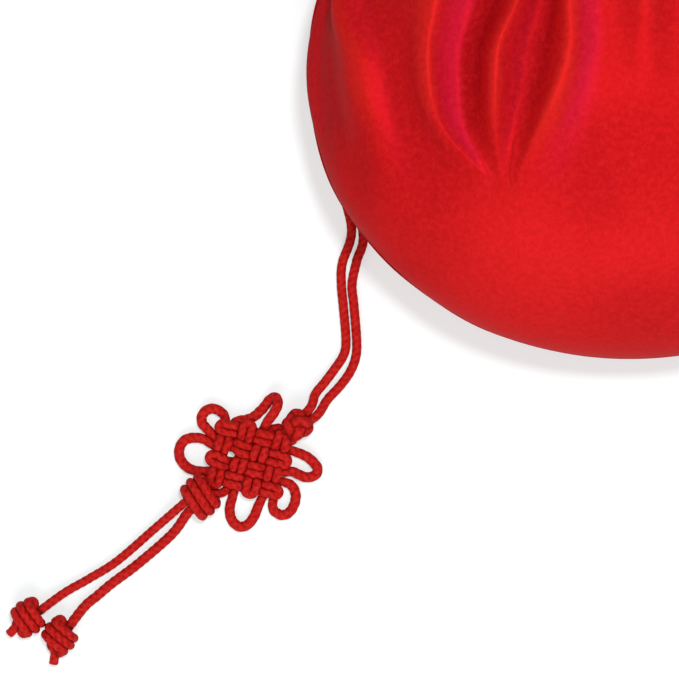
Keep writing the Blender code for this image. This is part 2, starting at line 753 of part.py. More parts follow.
def wrap_strand(hand):
    """Way of one strand through the wrapped knot, in the endless knot's plan."""
    apart = hand * (CORD_RADIUS + KNOT_GAP / 2)
    end = WRAP_HALF_LENGTH + CORD_RADIUS
    points = [
        beside(WRAP_PLACE, WRAP_AXIS, WRAP_HEIGHT - 0.0010, -WRAP_HALF_LENGTH, apart,
               WEAVE_RADIUS),
        beside(WRAP_PLACE, WRAP_AXIS, WRAP_HEIGHT, -WRAP_CORD, apart, CORD_RADIUS),
        beside(WRAP_PLACE, WRAP_AXIS, WRAP_HEIGHT, WRAP_HALF_LENGTH, apart, CORD_RADIUS),
        beside(WRAP_PLACE, WRAP_AXIS, WRAP_HEIGHT - 0.0004, end, apart, CORD_RADIUS),
    ]
    return [in_knot_plan(point) for point in points]


def weave_a():
    """First strand: down and up twice, then across and back twice."""
    down_one = column_line(2, True)
    up_one = column_line(3, False)
    down_two = column_line(6, True)
    up_two = column_line(7, False)
    right_one = row_line(2, False)
    left_one = row_line(3, True)
    right_two = row_line(6, False)
    left_two = row_line(7, True)
    entry = button_strand(-1) + [
        np.array([0.0054, 0.0088, 0.0020, WEAVE_RADIUS]),
        np.array([0.0037, 0.0080, 0.0012, WEAVE_RADIUS]),
        np.array([0.0029, 0.0071, WEAVE_LOW, WEAVE_RADIUS]),
    ]
    leave = [
        np.array([-0.0070, -0.0062, WEAVE_LOW, WEAVE_RADIUS]),
        np.array([-0.0075, -0.0070, 0.0013, WEAVE_RADIUS]),
    ] + wrap_strand(-1)
    points = lead(np.array(entry), down_one, False)
    points += down_one + closed_end(down_one[-1], up_one[0]) + up_one
    points += ear(up_one, EAR_TOP, down_two)
    points += down_two + closed_end(down_two[-1], up_two[0]) + up_two
    points += ear(up_two, EAR_TOP_LEFT, right_one)
    points += right_one + closed_end(right_one[-1], left_one[0]) + left_one
    points += ear(left_one, EAR_LEFT, right_two)
    points += right_two + closed_end(right_two[-1], left_two[0]) + left_two
    points += lead(np.array(leave), left_two, True)
    return from_knot(points)


def weave_b():
    """Second strand: across and back twice, then up and down twice."""
    left_one = row_line(0, True)
    right_one = row_line(1, False)
    left_two = row_line(4, True)
    right_two = row_line(5, False)
    up_one = column_line(0, False)
    down_one = column_line(1, True)
    up_two = column_line(4, False)
    down_two = column_line(5, True)
    entry = button_strand(1) + [
        np.array([0.0081, 0.0065, 0.0016, WEAVE_RADIUS]),
        np.array([0.0075, 0.0059, WEAVE_LOW, WEAVE_RADIUS]),
    ]
    leave = [
        np.array([-0.0026, -0.0074, WEAVE_LOW, WEAVE_RADIUS]),
        np.array([-0.0034, -0.0085, 0.0014, WEAVE_RADIUS]),
    ] + wrap_strand(1)
    points = lead(np.array(entry), left_one, False)
    points += left_one + closed_end(left_one[-1], right_one[0]) + right_one
    points += ear(right_one, EAR_RIGHT, left_two)
    points += left_two + closed_end(left_two[-1], right_two[0]) + right_two
    points += ear(right_two, EAR_BOTTOM_RIGHT, up_one)
    points += up_one + closed_end(up_one[-1], down_one[0]) + down_one
    points += ear(down_one, EAR_BOTTOM, up_two)
    points += up_two + closed_end(up_two[-1], down_two[0]) + down_two
    points += lead(np.array(leave), down_two, True)
    return from_knot(points)


END_CORD = END_SQUEEZE * CORD_RADIUS
END_APART = END_CORD + KNOT_GAP / 2
END_HALF_WIDTH = END_APART + 2 * END_CORD + 3 * KNOT_GAP
END_HALF_HEIGHT = 2 * END_CORD + 5 * KNOT_GAP
END_HEIGHT = END_HALF_HEIGHT + END_CORD + FLOOR_CLEARANCE
END_HALF_COIL = END_TURNS * (2 * END_CORD + 1.6 * KNOT_GAP) / 2
END_NEAR = END_HALF_COIL + 2.2 * END_CORD


def end_knot(place, axis):
    """Strand through the core, back round it in turns, through again and out as a stub."""
    forward = np.asarray(axis) / np.linalg.norm(axis)
    sideways = np.array([-forward[1], forward[0]])
    turn_reach = END_HALF_COIL + 1.35 * END_CORD
    t = np.arange(int(END_TURNS * COIL_POINTS) + 1) / (END_TURNS * COIL_POINTS)
    angle = 2 * math.pi * END_TURNS * t
    coil_points = np.column_stack([
        END_HALF_COIL * (1 - 2 * t),
        END_HALF_WIDTH * np.cos(angle),
        END_HALF_HEIGHT * np.sin(angle),
    ])
    turn_out = (END_APART + END_HALF_WIDTH) / 2
    core_in = [(-END_NEAR, 0.4 * END_APART, -0.0004), (-END_HALF_COIL, END_APART, 0),
               (END_HALF_COIL, END_APART, 0), (turn_reach, turn_out, 0)]
    core_out = [(-turn_reach, -turn_out, 0), (-END_HALF_COIL, -END_APART, 0),
                (END_HALF_COIL, -END_APART, 0),
                (END_NEAR + END_STUB / 2, -0.5 * END_APART, -0.0006),
                (END_NEAR + END_STUB, -0.2 * END_APART, -0.0010)]
    local = np.vstack([core_in, coil_points, core_out])
    plan = np.asarray(place) + local[:, :1] * forward + local[:, 1:2] * sideways
    points = np.column_stack([plan, END_HEIGHT + local[:, 2], np.full(len(local), END_CORD)])
    return thin_path(smooth_path(points), math.radians(30))


def end_knot_face(place, axis):
    """Where the tail meets the end knot, one gap before it."""
    forward = np.asarray(axis) / np.linalg.norm(axis)
    sideways = np.array([-forward[1], forward[0]])
    plan = np.asarray(place) - (END_NEAR + CORD_GAP) * forward + 0.4 * END_APART * sideways
    return (plan[0], plan[1], END_HEIGHT - 0.0004)


def drawstring():
    """One turn in the casing, with both ends turned out through the slit side by side."""
    count = 18
    start = math.radians(26)
    angle = np.linspace(start, 2 * math.pi - start, count)
    shift = np.linspace(CORD_RING_PITCH / 2, -CORD_RING_PITCH / 2, count)
    ring = np.column_stack([
        -CORD_RING_RADIUS * np.cos(angle),
        Y_NECK + shift,
        SEAM_HEIGHT_NECK + CORD_RING_RADIUS * np.sin(angle),
    ])
    out = CASING_RADIUS + NECK_RIPPLE + CORD_GAP
    bend = CORD_RING_RADIUS + 0.6 * CORD_RADIUS

    def way_out(end):
        y = Y_NECK + end * CORD_RING_PITCH / 2
        return [(-bend, y, SEAM_HEIGHT_NECK + end * 0.0016),
                (-(bend + out) / 2, y, SEAM_HEIGHT_NECK + end * 0.0003),
                (-out, y, SEAM_HEIGHT_NECK)]

    points = way_out(1)[::-1] + [tuple(point) for point in ring] + way_out(-1)
    return thin_path(smooth_path(with_radius(points)), longest=0.0035)


def strand(end, route):
    """Free cord from the slit to the button knot."""
    start_x = -(CASING_RADIUS + NECK_RIPPLE + 2 * CORD_GAP)
    start = (start_x, Y_NECK + end * CORD_RING_PITCH / 2, SEAM_HEIGHT_NECK)
    straight = (start_x - CORD_RADIUS, start[1], SEAM_HEIGHT_NECK)
    knot_start = BUTTON_HALF_LENGTH + 2 * CORD_RADIUS + CORD_GAP
    finish = beside(BUTTON_PLACE, BUTTON_AXIS, BUTTON_HEIGHT - 0.0005, -knot_start,
                    -end * (CORD_RADIUS + KNOT_GAP), CORD_RADIUS)
    return thin_path(smooth_path(with_radius([start, straight, *route, tuple(finish[:3])])))


def tail(hand, route, place, axis):
    """Free cord from the wrapped knot to its end knot."""
    reach = WRAP_HALF_LENGTH + CORD_RADIUS + CORD_GAP
    start = beside(WRAP_PLACE, WRAP_AXIS, WRAP_HEIGHT - 0.0004, reach,
                   hand * (CORD_RADIUS + KNOT_GAP / 2), CORD_RADIUS)
    finish = end_knot_face(place, axis)
    path = smooth_path(with_radius([tuple(start[:3]), *route, finish]))
    path[:, 3] = np.linspace(CORD_RADIUS, END_CORD, len(path))
    return thin_path(path)


def main():
    clear_scene()
    parts = bpy.data.collections.new("kinchaku_pouch")
    bpy.context.scene.collection.children.link(parts)
    satin = make_material("red_satin", RED_SATIN, 0.38)
    inside = make_material("red_facing", RED_FACING, 0.6)
    cord = make_material("red_cord", RED_CORD, 0.6)
    panel("front_panel", 1, satin, parts)
    panel("back_panel", -1, satin.copy(), parts)
    facing("hem_facing", inside, parts)
    tube("drawstring_loop", drawstring(), cord, parts)
    tube("draw_cord_a", strand(1, ROUTE_A), cord.copy(), parts)
    tube("draw_cord_b", strand(-1, ROUTE_B), cord.copy(), parts)
    tube("endless_knot_a", weave_a(), cord.copy(), parts)
    tube("endless_knot_b", weave_b(), cord.copy(), parts)
    tube("button_knot", coil(BUTTON_PLACE, BUTTON_AXIS, BUTTON_HEIGHT, BUTTON_HALVES,
                             BUTTON_CORD, BUTTON_TURNS, BUTTON_SWELL, -math.pi / 2),
         cord.copy(), parts)
    tube("wrap_knot", coil(WRAP_PLACE, WRAP_AXIS, WRAP_HEIGHT, WRAP_HALVES,
                           WRAP_CORD, WRAP_TURNS, WRAP_SWELL, math.pi / 2), cord.copy(), parts)
    tube("tail_a", tail(-1, TAIL_A, *END_KNOT_A), cord.copy(), parts)
    tube("tail_b", tail(1, TAIL_B, *END_KNOT_B), cord.copy(), parts)
    tube("end_knot_a", end_knot(*END_KNOT_A), cord.copy(), parts)
    tube("end_knot_b", end_knot(*END_KNOT_B), cord.copy(), parts)


main()
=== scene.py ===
"""Red satin drawstring pouch on its back, its cord tied in a woven knot with six ears.

Everything is in metres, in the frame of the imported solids: +Y to the mouth, +Z up.
"""
import math

import bpy
import numpy as np
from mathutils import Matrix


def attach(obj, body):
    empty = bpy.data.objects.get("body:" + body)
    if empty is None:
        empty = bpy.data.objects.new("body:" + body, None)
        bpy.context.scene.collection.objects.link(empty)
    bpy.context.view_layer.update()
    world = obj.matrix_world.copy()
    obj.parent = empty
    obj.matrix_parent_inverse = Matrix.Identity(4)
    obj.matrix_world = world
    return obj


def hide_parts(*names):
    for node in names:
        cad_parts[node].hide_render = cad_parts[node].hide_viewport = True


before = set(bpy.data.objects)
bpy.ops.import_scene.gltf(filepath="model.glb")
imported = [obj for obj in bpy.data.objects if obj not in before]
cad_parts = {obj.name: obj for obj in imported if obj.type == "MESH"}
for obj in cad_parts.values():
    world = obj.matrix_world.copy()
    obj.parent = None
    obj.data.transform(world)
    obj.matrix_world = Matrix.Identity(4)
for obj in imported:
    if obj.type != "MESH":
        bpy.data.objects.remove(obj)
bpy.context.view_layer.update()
PI = math.pi

# Camera: straight above the table, the way the pouch was photographed
PHOTO_WIDTH = 679
CAMERA_PLACE = (-0.0608, -0.0757, 0.700)
FOCAL_PIXELS = 3250
SENSOR_MM = 36.0
LAMP_WHITE = (1.0, 0.99, 0.98)
ROOM_LIGHT = 0.38
FLOOR_HALF, FLOOR_LEVEL = 3.0, -0.0001

# The bag as it was cut and drawn up
BAG_WIDTH = 0.134
BELLY_LENGTH = 0.057
SHOULDER_LENGTH = 0.069
CASING_LENGTH = 0.010
RUFFLE_LENGTH = 0.023
BAG_HEIGHT = 0.056
BACK_DEPTH = 0.0265
CLOTH = 0.0005
SEAM_GAP = 0.0003
SEAM_ALLOWANCE = 0.003
NECK_ALLOWANCE = 0.0012
SEAM_HEIGHT_BOTTOM = 0.018
SEAM_HEIGHT_MIDDLE = 0.024
SEAM_HEIGHT_NECK = 0.020
SEAM_HEIGHT_RIM = 0.018
CORD_DIAMETER = 0.002
CORD_GAP = 0.0003
CORD_RING_RADIUS = 0.009
CORD_RING_PITCH = 0.0024
NECK_RIPPLE = 0.001
STITCH_RIPPLE = 0.0007
STITCH_PINCH = 0.0014
SLIT_HALF_HEIGHT = 0.0024
RUFFLE_HALF_WIDTH = 0.030
RUFFLE_HALF_HEIGHT = 0.0145
RUFFLE_WAVE = 0.0024
FRONT_POWER = 2.2
BACK_POWER = 2.8
SHOULDER_POWER = 2.2
SHOULDER_ROUND = 1.6
FOLD_START = 0.024

# Rows count the length of the bag: 0 to 1 belly, to 2 shoulder, to 3 casing, to 4 ruffle
CASING_ROW = 2.5
CASING_HALF_ROWS = 0.45
ROUNDING_ROWS = 0.9
PINCH_POWER = 0.4
FLARE_POWER = 1.3
SLIT_HALF_ROWS = 0.2
SLIT_EASE_ROWS = 0.3
SLIT_ANGLE = 60
ALLOWANCE_ROW = 1.4
ALLOWANCE_ROWS = 0.5
FOOT_ROWS = 0.12
FOOT_ALLOWANCE = 0.0015

# Ridges of the left half of the front: angle from the left seam in degrees at seven places
# below the neck, rise of the ridge, depth of the valley after it, where it fades out
STATIONS = (0.0, 0.034, 0.060, 0.068, 0.076, 0.085, 0.094)
FRONT_RIDGES = (
    ((0, 0, 0, 0, 0, 0, 0), 0.0004, 0.0020, 0.095),
    ((20, 22, 25, 33, 36, 37.6, 36.8), 0.0016, 0.0009, 0.104),
    ((38, 47, 52, 51.4, 51.8, 53.6, 60.0), 0.0020, 0.0034, 0.100),
    ((56, 63, 67.5, 64.7, 64.2, 63.7, 63.5), 0.0018, 0.0028, 0.096),
    ((73, 76, 76.5, 76.8, 75.2, 71.6, 67.0), 0.0018, 0.0007, 0.101),
    ((90, 90, 90, 90, 90, 90, 90), 0.0012, 0.0008, 0.072),
)
# How strong the painted pink sheen is on the flank beyond each of those ridges
FLANK_SHEEN_SHARES = (0.1, 0.15, 1.0, 0.3, 0.9, 0.0)
# Soft hollows of the front between the folds: place, reach across and along, in metres
SOFT_HOLLOWS = (
    (-0.0103, -0.0463, 0.0065, 0.0140),
    (-0.0426, -0.0402, 0.0070, 0.0200),
    (-0.0562, -0.0410, 0.0035, 0.0120),
    (0.0010, -0.0700, 0.0140, 0.0090),
)
HOLLOW_DEPTH = 0.0003
HOLLOW_SHADE = 0.32
RIDGE_SHARPNESS = 1.7
FADE_SHARE = 0.76
FOLD_ROOM = 0.0045
SEAM_SHADE = 0.0045
LIT_BELLY_START = 0.088
LIT_BELLY_REACH = 0.030
BACK_PLEATS = 6
BACK_RISE = 0.0008
BACK_REACH = 0.075

# Small waves of the soft cloth: over which rows, then seed, length, number and size
WAVES_FROM, WAVES_GROW = 0.02, 0.5
WAVES_TO, WAVES_FADE = 1.7, 0.3
WAVE_SEED, WAVE_LENGTH, WAVE_COUNT, WAVE_SIZE = 7, 0.045, 7, 0.00022
SHORTEST_WAVE = 0.45

# Masks of painted light and shade on the cloth's colour, a highlight on the crests, shade in the
# valleys and a pink sheen on the flanks: where each starts, over what height or share it grows
CREST_HIGHLIGHT_START, CREST_HIGHLIGHT_REACH, CREST_HIGHLIGHT_POWER = 0.0005, 0.0013, 1.3
VALLEY_SHADE_START, VALLEY_SHADE_REACH = 0.0004, 0.0020
SEAM_VALLEY_SHADE = 0.6
FLANK_SHEEN_DROP, FLANK_SHEEN_MIDDLE, FLANK_SHEEN_REACH = 0.0022, 0.55, 0.27
# Value of each mask on the seam allowance and at the two points of the round bottom
EDGE_MASKS = {
    "crest": (0, (0, 0)),
    "valley": (0.6, (0.3, 0.6)),
    "flank": (0, (0, 0)),
    "belly": (0, (0.75, 0.75)),
}

# Fineness of the cloth: rows in each part of the length, columns in each fold
ROWS_IN = (64, 84, 16, 34)
FRONT_FINENESS = 11
BACK_FINENESS = 15
POLE_ON_MAP = (0, -0.001)

HALF_WIDTH = BAG_WIDTH / 2
FRONT_RISE = BAG_HEIGHT - SEAM_HEIGHT_MIDDLE
BAG_LENGTH = BELLY_LENGTH + SHOULDER_LENGTH + CASING_LENGTH + RUFFLE_LENGTH
Y_BOTTOM = -BAG_LENGTH / 2
Y_NECK = Y_BOTTOM + BELLY_LENGTH + SHOULDER_LENGTH + CASING_LENGTH / 2
CORD_RADIUS = CORD_DIAMETER / 2
CASING_RADIUS = CORD_RING_RADIUS + CORD_RADIUS + CORD_GAP + CLOTH + NECK_RIPPLE
STITCH_RADIUS = CASING_RADIUS - STITCH_PINCH


def arithmetic(operation, swapped=False):
    """An operator that adds a Math node, its values swapped where the socket comes second."""
    def operator(self, other):
        values = (other, self) if swapped else (self, other)
        return self.maths(operation, *values)
    return operator


class Socket:
    """An output of a shader node, on which arithmetic adds Math nodes."""

    __add__, __radd__ = arithmetic("ADD"), arithmetic("ADD", True)
    __sub__, __rsub__ = arithmetic("SUBTRACT"), arithmetic("SUBTRACT", True)
    __mul__ = arithmetic("MULTIPLY")

    def __init__(self, finish, socket):
        self.finish = finish
        self.socket = socket

    def maths(self, operation, *values):
        return self.finish.node("Math", {"operation": operation}, dict(enumerate(values)))

    def clamp(self, low=0.0, high=1.0):
        return self.maths("MINIMUM", self.maths("MAXIMUM", self, low), high)


class Finish:
    """A material under construction: node() adds any node with its settings and inputs."""

    def __init__(self, name):
        self.material = bpy.data.materials.new(name)
        self.material.use_nodes = True
        self.tree = self.material.node_tree
        self.tree.nodes.clear()

    def node(self, kind, settings, inputs, output=0):
        made = self.tree.nodes.new("ShaderNode" + kind)
        for key, value in settings.items():
            setattr(made, key, value)
        for key, value in inputs.items():
            if isinstance(value, Socket):
                self.tree.links.new(value.socket, made.inputs[key])
            elif isinstance(value, tuple) and len(value) == 3 and made.inputs[key].type == "RGBA":
                made.inputs[key].default_value = (*value, 1)
            else:
                made.inputs[key].default_value = value
        return Socket(self, made.outputs[output]) if made.outputs else None

    def mix(self, factor, first, second):
        inputs = {0: factor, 6: first, 7: second}
        return self.node("Mix", {"data_type": "RGBA"}, inputs, 2)

    def noise(self, where, scale, detail=2.0, roughness=0.5):
        return self.node("TexNoise", {}, {
            "Vector": where, "Scale": scale, "Detail": detail, "Roughness": roughness})

    def place(self):
        return self.node("TexCoord", {}, {}, "Object")

    def bump(self, strength, distance, height):
        return self.node("Bump", {}, {
            "Strength": strength, "Distance": distance, "Height": height})

    def attribute(self, name):
        return self.node("Attribute", {"attribute_name": name}, {}, "Fac")

    def shade(self, **inputs):
        named = {key.replace("_", " "): value for key, value in inputs.items()}
        shader = self.node("BsdfPrincipled", {}, named)
        self.node("OutputMaterial", {}, {"Surface": shader})
        return self.material


# Linear colours, and the sizes of the noises that mix them
SATIN_DARK, SATIN_LIGHT = (0.51, 0.0050, 0.0082), (0.70, 0.0105, 0.0122)
# Painted light: the lower belly painted lighter
SATIN_LIT_BELLY = (0.80, 0.0180, 0.0190)
# Painted shade in the fold valleys, the soft hollows and along the side seam
SATIN_VALLEY_SHADE = (0.27, 0.0008, 0.0058)
# Painted pink sheen on the flanks after some ridges
SATIN_FLANK_SHEEN = (0.78, 0.0120, 0.0700)
# Painted highlight on the crests of the folds
SATIN_CREST_HIGHLIGHT = (0.76, 0.0240, 0.0150)
SATIN_BRIGHT_GRAIN, SATIN_DIM_GRAIN = (0.72, 0.0160, 0.0165), (0.42, 0.0040, 0.0070)
SATIN_GLINT = (1.0, 0.08, 0.14)
FACING_DARK, FACING_LIGHT = (0.40, 0.006, 0.010), (0.50, 0.010, 0.014)
# Painted shade in the grooves between plaits, lighter on the plait ridges
CORD_GROOVE_SHADE, CORD_RIDGE = (0.29, 0.0042, 0.0040), (0.58, 0.0125, 0.0100)
# Painted highlight specks on the threads, and darker specks
CORD_SPECK_HIGHLIGHT, CORD_DIM = (0.70, 0.030, 0.026), (0.30, 0.004, 0.004)
# Painted shade where one cord presses on another
CORD_CREVICE_SHADE = (0.12, 0.0012, 0.0016)
CORD_GLINT = (1.0, 0.25, 0.22)
TABLE_PAPER, TABLE_GLOW = (0.555, 0.60, 0.602), 0.47
BROAD_NOISE, MOTTLE_NOISE, THREAD_NOISE = 34.0, 900.0, 4200.0
THREAD_STRETCH = (1.0, 0.22, 1.0)
WEAVE_WAVES, WEAVE_NOISE = 900.0, 300.0
CORD_NOISE = 1100.0


def satin_finish(name):
    """Red satin: a painted highlight on the crest of a fold, painted shade deep in its valley, a
    painted pink sheen on the flank that turns from the light, the lower belly painted lighter;
    finely streaked along the threads."""
    f = Finish(name)
    where = f.place()
    weave = f.node("UVMap", {"uv_map": "cloth"}, {})
    threads = f.node("VectorMath", {"operation": "MULTIPLY"}, {0: weave, 1: THREAD_STRETCH})
    broad = f.noise(where, BROAD_NOISE, 2.0)
    mottle = f.noise(where, MOTTLE_NOISE, 3.0, 0.6)
    streak = f.noise(threads, THREAD_NOISE, 2.0, 0.6)
    colour = f.mix(broad, SATIN_DARK, SATIN_LIGHT)
    # Painted light: the lower belly painted lighter
    colour = f.mix(f.attribute("belly"), colour, SATIN_LIT_BELLY)
    # Painted shade in the valleys, the soft hollows and along the side seam
    colour = f.mix(f.attribute("valley"), colour, SATIN_VALLEY_SHADE)
    # Painted pink sheen on the flanks after some ridges
    colour = f.mix(f.attribute("flank"), colour, SATIN_FLANK_SHEEN)
    # Painted highlight on the crests of the folds
    colour = f.mix((f.attribute("crest") * 0.9).clamp(), colour, SATIN_CREST_HIGHLIGHT)
    height = mottle * 0.6 + streak * 0.4
    grain = (height - 0.5) * 1.6
    colour = f.mix((0.35 + grain).clamp(0.0, 0.8), colour, SATIN_BRIGHT_GRAIN)
    colour = f.mix((0.30 - grain).clamp(0.0, 0.5), colour, SATIN_DIM_GRAIN)
    return f.shade(
        Base_Color=colour, Roughness=(0.50 + (mottle - 0.5) * 0.16),
        Normal=f.bump(0.30, 0.00010, height),
        Metallic=0.18, Specular_IOR_Level=0.06, Specular_Tint=SATIN_GLINT)


def facing_finish(name):
    """Matte plain weave of the facing inside the casing."""
    f = Finish(name)
    where = f.place()
    across, lengthways = [
        f.node("TexWave", {"bands_direction": way}, {"Vector": where, "Scale": WEAVE_WAVES})
        for way in "XY"]
    colour = f.mix(f.noise(where, WEAVE_NOISE), FACING_DARK, FACING_LIGHT)
    return f.shade(Base_Color=colour, Roughness=0.62,
                   Normal=f.bump(0.5, 0.0001, across * lengthways))


def cord_finish(name):
    """Braided cord: glossy threads that lie slanting along each plait, with painted shade in the
    grooves between plaits and painted highlight specks, and painted shade where one cord presses
    on the next."""
    f = Finish(name)
    where = f.place()
    lit = f.noise(where, CORD_NOISE, 3.0, 0.65)
    fine = f.noise(where, THREAD_NOISE, 2.0, 0.6)
    # Painted shade in the grooves between the plaits
    colour = f.mix(f.attribute("plait"), CORD_GROOVE_SHADE, CORD_RIDGE)
    # Painted highlight specks where the noise is high, darker specks where it is low
    colour = f.mix((lit * 2.2 - 0.95).clamp(0.0, 0.8), colour, CORD_SPECK_HIGHLIGHT)
    colour = f.mix((0.8 - lit * 1.8).clamp(0.0, 0.5), colour, CORD_DIM)
    # Painted shade where cords press on each other
    colour = f.mix((f.attribute("crevice") * 0.8).clamp(), colour, CORD_CREVICE_SHADE)
    return f.shade(
        Base_Color=colour, Roughness=(0.55 + (lit - 0.5) * 0.2),
        Normal=f.bump(0.4, 0.00008, fine * 0.6 + lit * 0.4),
        Specular_IOR_Level=0.16, Specular_Tint=CORD_GLINT)


def table_finish(name):
    """Plain white table: white where the light reaches it, grey in the shadow."""
    f = Finish(name)
    seen = f.node("LightPath", {}, {}, "Is Camera Ray")
    paper = f.node("BsdfDiffuse", {}, {"Color": TABLE_PAPER})
    glow = f.node("Emission", {}, {"Color": (1.0, 1.0, 1.0), "Strength": seen * TABLE_GLOW})
    both = f.node("AddShader", {}, {0: paper, 1: glow})
    f.node("OutputMaterial", {}, {"Surface": both})
    return f.material


def ease(value):
    """Smooth step from 0 to 1."""
    value = np.clip(value, 0, 1)
    return value * value * (3 - 2 * value)


def unit(vectors):
    """The vectors along the last axis at length 1."""
    length = np.linalg.norm(vectors, axis=-1, keepdims=True)
    return vectors / np.maximum(length, 1e-12)


def through(stations, values, places):
    """Cubic through the values at the stations, read at the places."""
    stations = np.asarray(stations, float)
    values = np.asarray(values, float)
    slopes = np.gradient(values, stations, axis=-1)
    places = np.clip(places, stations[0], stations[-1])
    left = np.clip(np.searchsorted(stations, places, side="right") - 1, 0, len(stations) - 2)
    span = stations[left + 1] - stations[left]
    t = (places - stations[left]) / span
    return (
        values[..., left] * (2 * t ** 3 - 3 * t ** 2 + 1)
        + slopes[..., left] * span * (t ** 3 - 2 * t ** 2 + t)
        + values[..., left + 1] * (3 * t ** 2 - 2 * t ** 3)
        + slopes[..., left + 1] * span * (t ** 3 - t ** 2)
    )


def row_parts(row):
    """How far a row is through the belly and the shoulder, as quarter turns, and through the
    casing and the ruffle, as shares."""
    return (np.clip(row, 0, 1) * PI / 2, np.clip(row - 1, 0, 1) * PI / 2,
            np.clip(row - 2, 0, 1), np.clip(row - 3, 0, 1))


def along(row):
    """Y of a row: a quarter ellipse over the belly, a rounded shoulder, then straight."""
    belly, shoulder, casing, ruffle = row_parts(row)
    return (
        Y_BOTTOM
        + BELLY_LENGTH * (1 - np.cos(belly))
        + SHOULDER_LENGTH * np.sin(shoulder) ** (2 / SHOULDER_POWER)
        + CASING_LENGTH * casing
        + RUFFLE_LENGTH * ruffle
    )


def reach_out(row, body, rim):
    """Half size of the section: a sine over the belly, drawn in to the stitches and the cord
    casing, then flaring to the rim."""
    belly, shoulder, casing, ruffle = row_parts(row)
    return (
        body * np.sin(belly)
        - (body - STITCH_RADIUS) * (1 - np.maximum(np.cos(shoulder), 0) ** SHOULDER_ROUND)
        + STITCH_PINCH * np.maximum(np.sin(PI * casing), 0) ** PINCH_POWER
        + (rim - STITCH_RADIUS) * np.sin(ruffle * PI / 2) ** FLARE_POWER
    )


def seam_height(row):
    """Height of the side seam, eased between the bottom, middle, neck and rim."""
    belly = np.sin(np.clip(row, 0, 1) * PI / 2)
    neck = ease(row - 1)
    ruffle = ease(row - 3)
    return (
        SEAM_HEIGHT_BOTTOM
        + (SEAM_HEIGHT_MIDDLE - SEAM_HEIGHT_BOTTOM) * belly
        + (SEAM_HEIGHT_NECK - SEAM_HEIGHT_MIDDLE) * neck
        + (SEAM_HEIGHT_RIM - SEAM_HEIGHT_NECK) * ruffle
    )


def bag_point(side, angle, row):
    """Plain bag: at each row a squared ellipse across X and Z, by the angle from the left."""
    body = FRONT_RISE if side > 0 else BACK_DEPTH
    squareness = FRONT_POWER if side > 0 else BACK_POWER
    power = 2 + (squareness - 2) * (1 - ease((row - 1) / ROUNDING_ROWS))
    across = np.cos(angle)
    rise = np.maximum(np.sin(angle), 0)
    size = (np.abs(across) ** power + rise ** power) ** (-1 / power)
    x = -reach_out(row, HALF_WIDTH, RUFFLE_HALF_WIDTH) * across * size
    z = seam_height(row) + side * reach_out(row, body, RUFFLE_HALF_HEIGHT) * rise * size
    return np.stack([x, along(row) + 0 * x, z], -1)


def bag_normal(side, angle, row):
    """Outward direction of the plain bag from two small differences."""
    turn = 0.002
    step = 0.002
    inner = np.clip(angle, turn, PI - turn)
    by_angle = bag_point(side, inner + turn, row) - bag_point(side, inner - turn, row)
    by_row = bag_point(side, inner, row + step) - bag_point(side, inner, row - step)
    return unit(side * np.cross(by_angle, by_row))


def fold_table(side):
    """Angles, heights and reaches of the ridges and valleys in turn, left to right seam."""
    if side > 0:
        left, right = FRONT_RIDGES, FRONT_RIDGES[-2::-1]
        angles = [np.radians(ridge[0]) for ridge in left]
        angles += [PI - np.radians(ridge[0]) for ridge in right]
        rises = [ridge[1] for ridge in left + right]
        depths = [ridge[2] for ridge in left[:-1] + right]
        reaches = [ridge[3] for ridge in left + right]
    else:
        even = np.arange(BACK_PLEATS + 1) / BACK_PLEATS * PI
        angles = [np.full(len(STATIONS), angle) for angle in even]
        rises = [BACK_RISE] * (BACK_PLEATS + 1)
        depths = [BACK_RISE] * BACK_PLEATS
        reaches = [BACK_REACH] * (BACK_PLEATS + 1)
    count = 2 * len(angles) - 1
    places = np.zeros((count, len(STATIONS)))
    heights = np.zeros(count)
    fades = np.zeros(count)
    places[0::2] = angles
    places[1::2] = (places[0:-2:2] + places[2::2]) / 2
    heights[0::2] = rises
    heights[1::2] = -np.asarray(depths)
    fades[0::2] = reaches
    fades[1::2] = (fades[0:-2:2] + fades[2::2]) / 2
    return places, heights, fades


def slit_shift(angle, row):
    """Turn of the cloth edge away from the left seam that opens the cord's slit."""
    beyond = (np.abs(row - CASING_ROW) - SLIT_HALF_ROWS) / SLIT_EASE_ROWS
    height = SLIT_HALF_HEIGHT * np.clip(1 - beyond, 0, 1)
    return height / CASING_RADIUS * np.clip(1 - angle / math.radians(SLIT_ANGLE), 0, 1) ** 2


def soft_waves(x, y, seed, longest, count, size):
    """Sum of a few slanting sine waves: the small unevenness of soft cloth."""
    chance = np.random.default_rng(seed)
    total = np.zeros(np.broadcast(x, y).shape)
    for _ in range(count):
        heading = chance.uniform(0, PI)
        length = longest * chance.uniform(SHORTEST_WAVE, 1.0)
        phase = chance.uniform(0, 2 * PI)
        run = x * math.cos(heading) + y * math.sin(heading)
        total += np.sin(2 * PI * run / length + phase)
    return size * total / math.sqrt(count)


def soft_hollows(side, x, y):
    """How deep each point of the front lies in a soft hollow: the largest of a few bells."""
    depth = np.zeros(x.shape)
    if side > 0:
        for centre_x, centre_y, across, along_it in SOFT_HOLLOWS:
            bell = np.exp(-((x - centre_x) / across) ** 2 - ((y - centre_y) / along_it) ** 2)
            depth = np.maximum(depth, bell)
    return depth


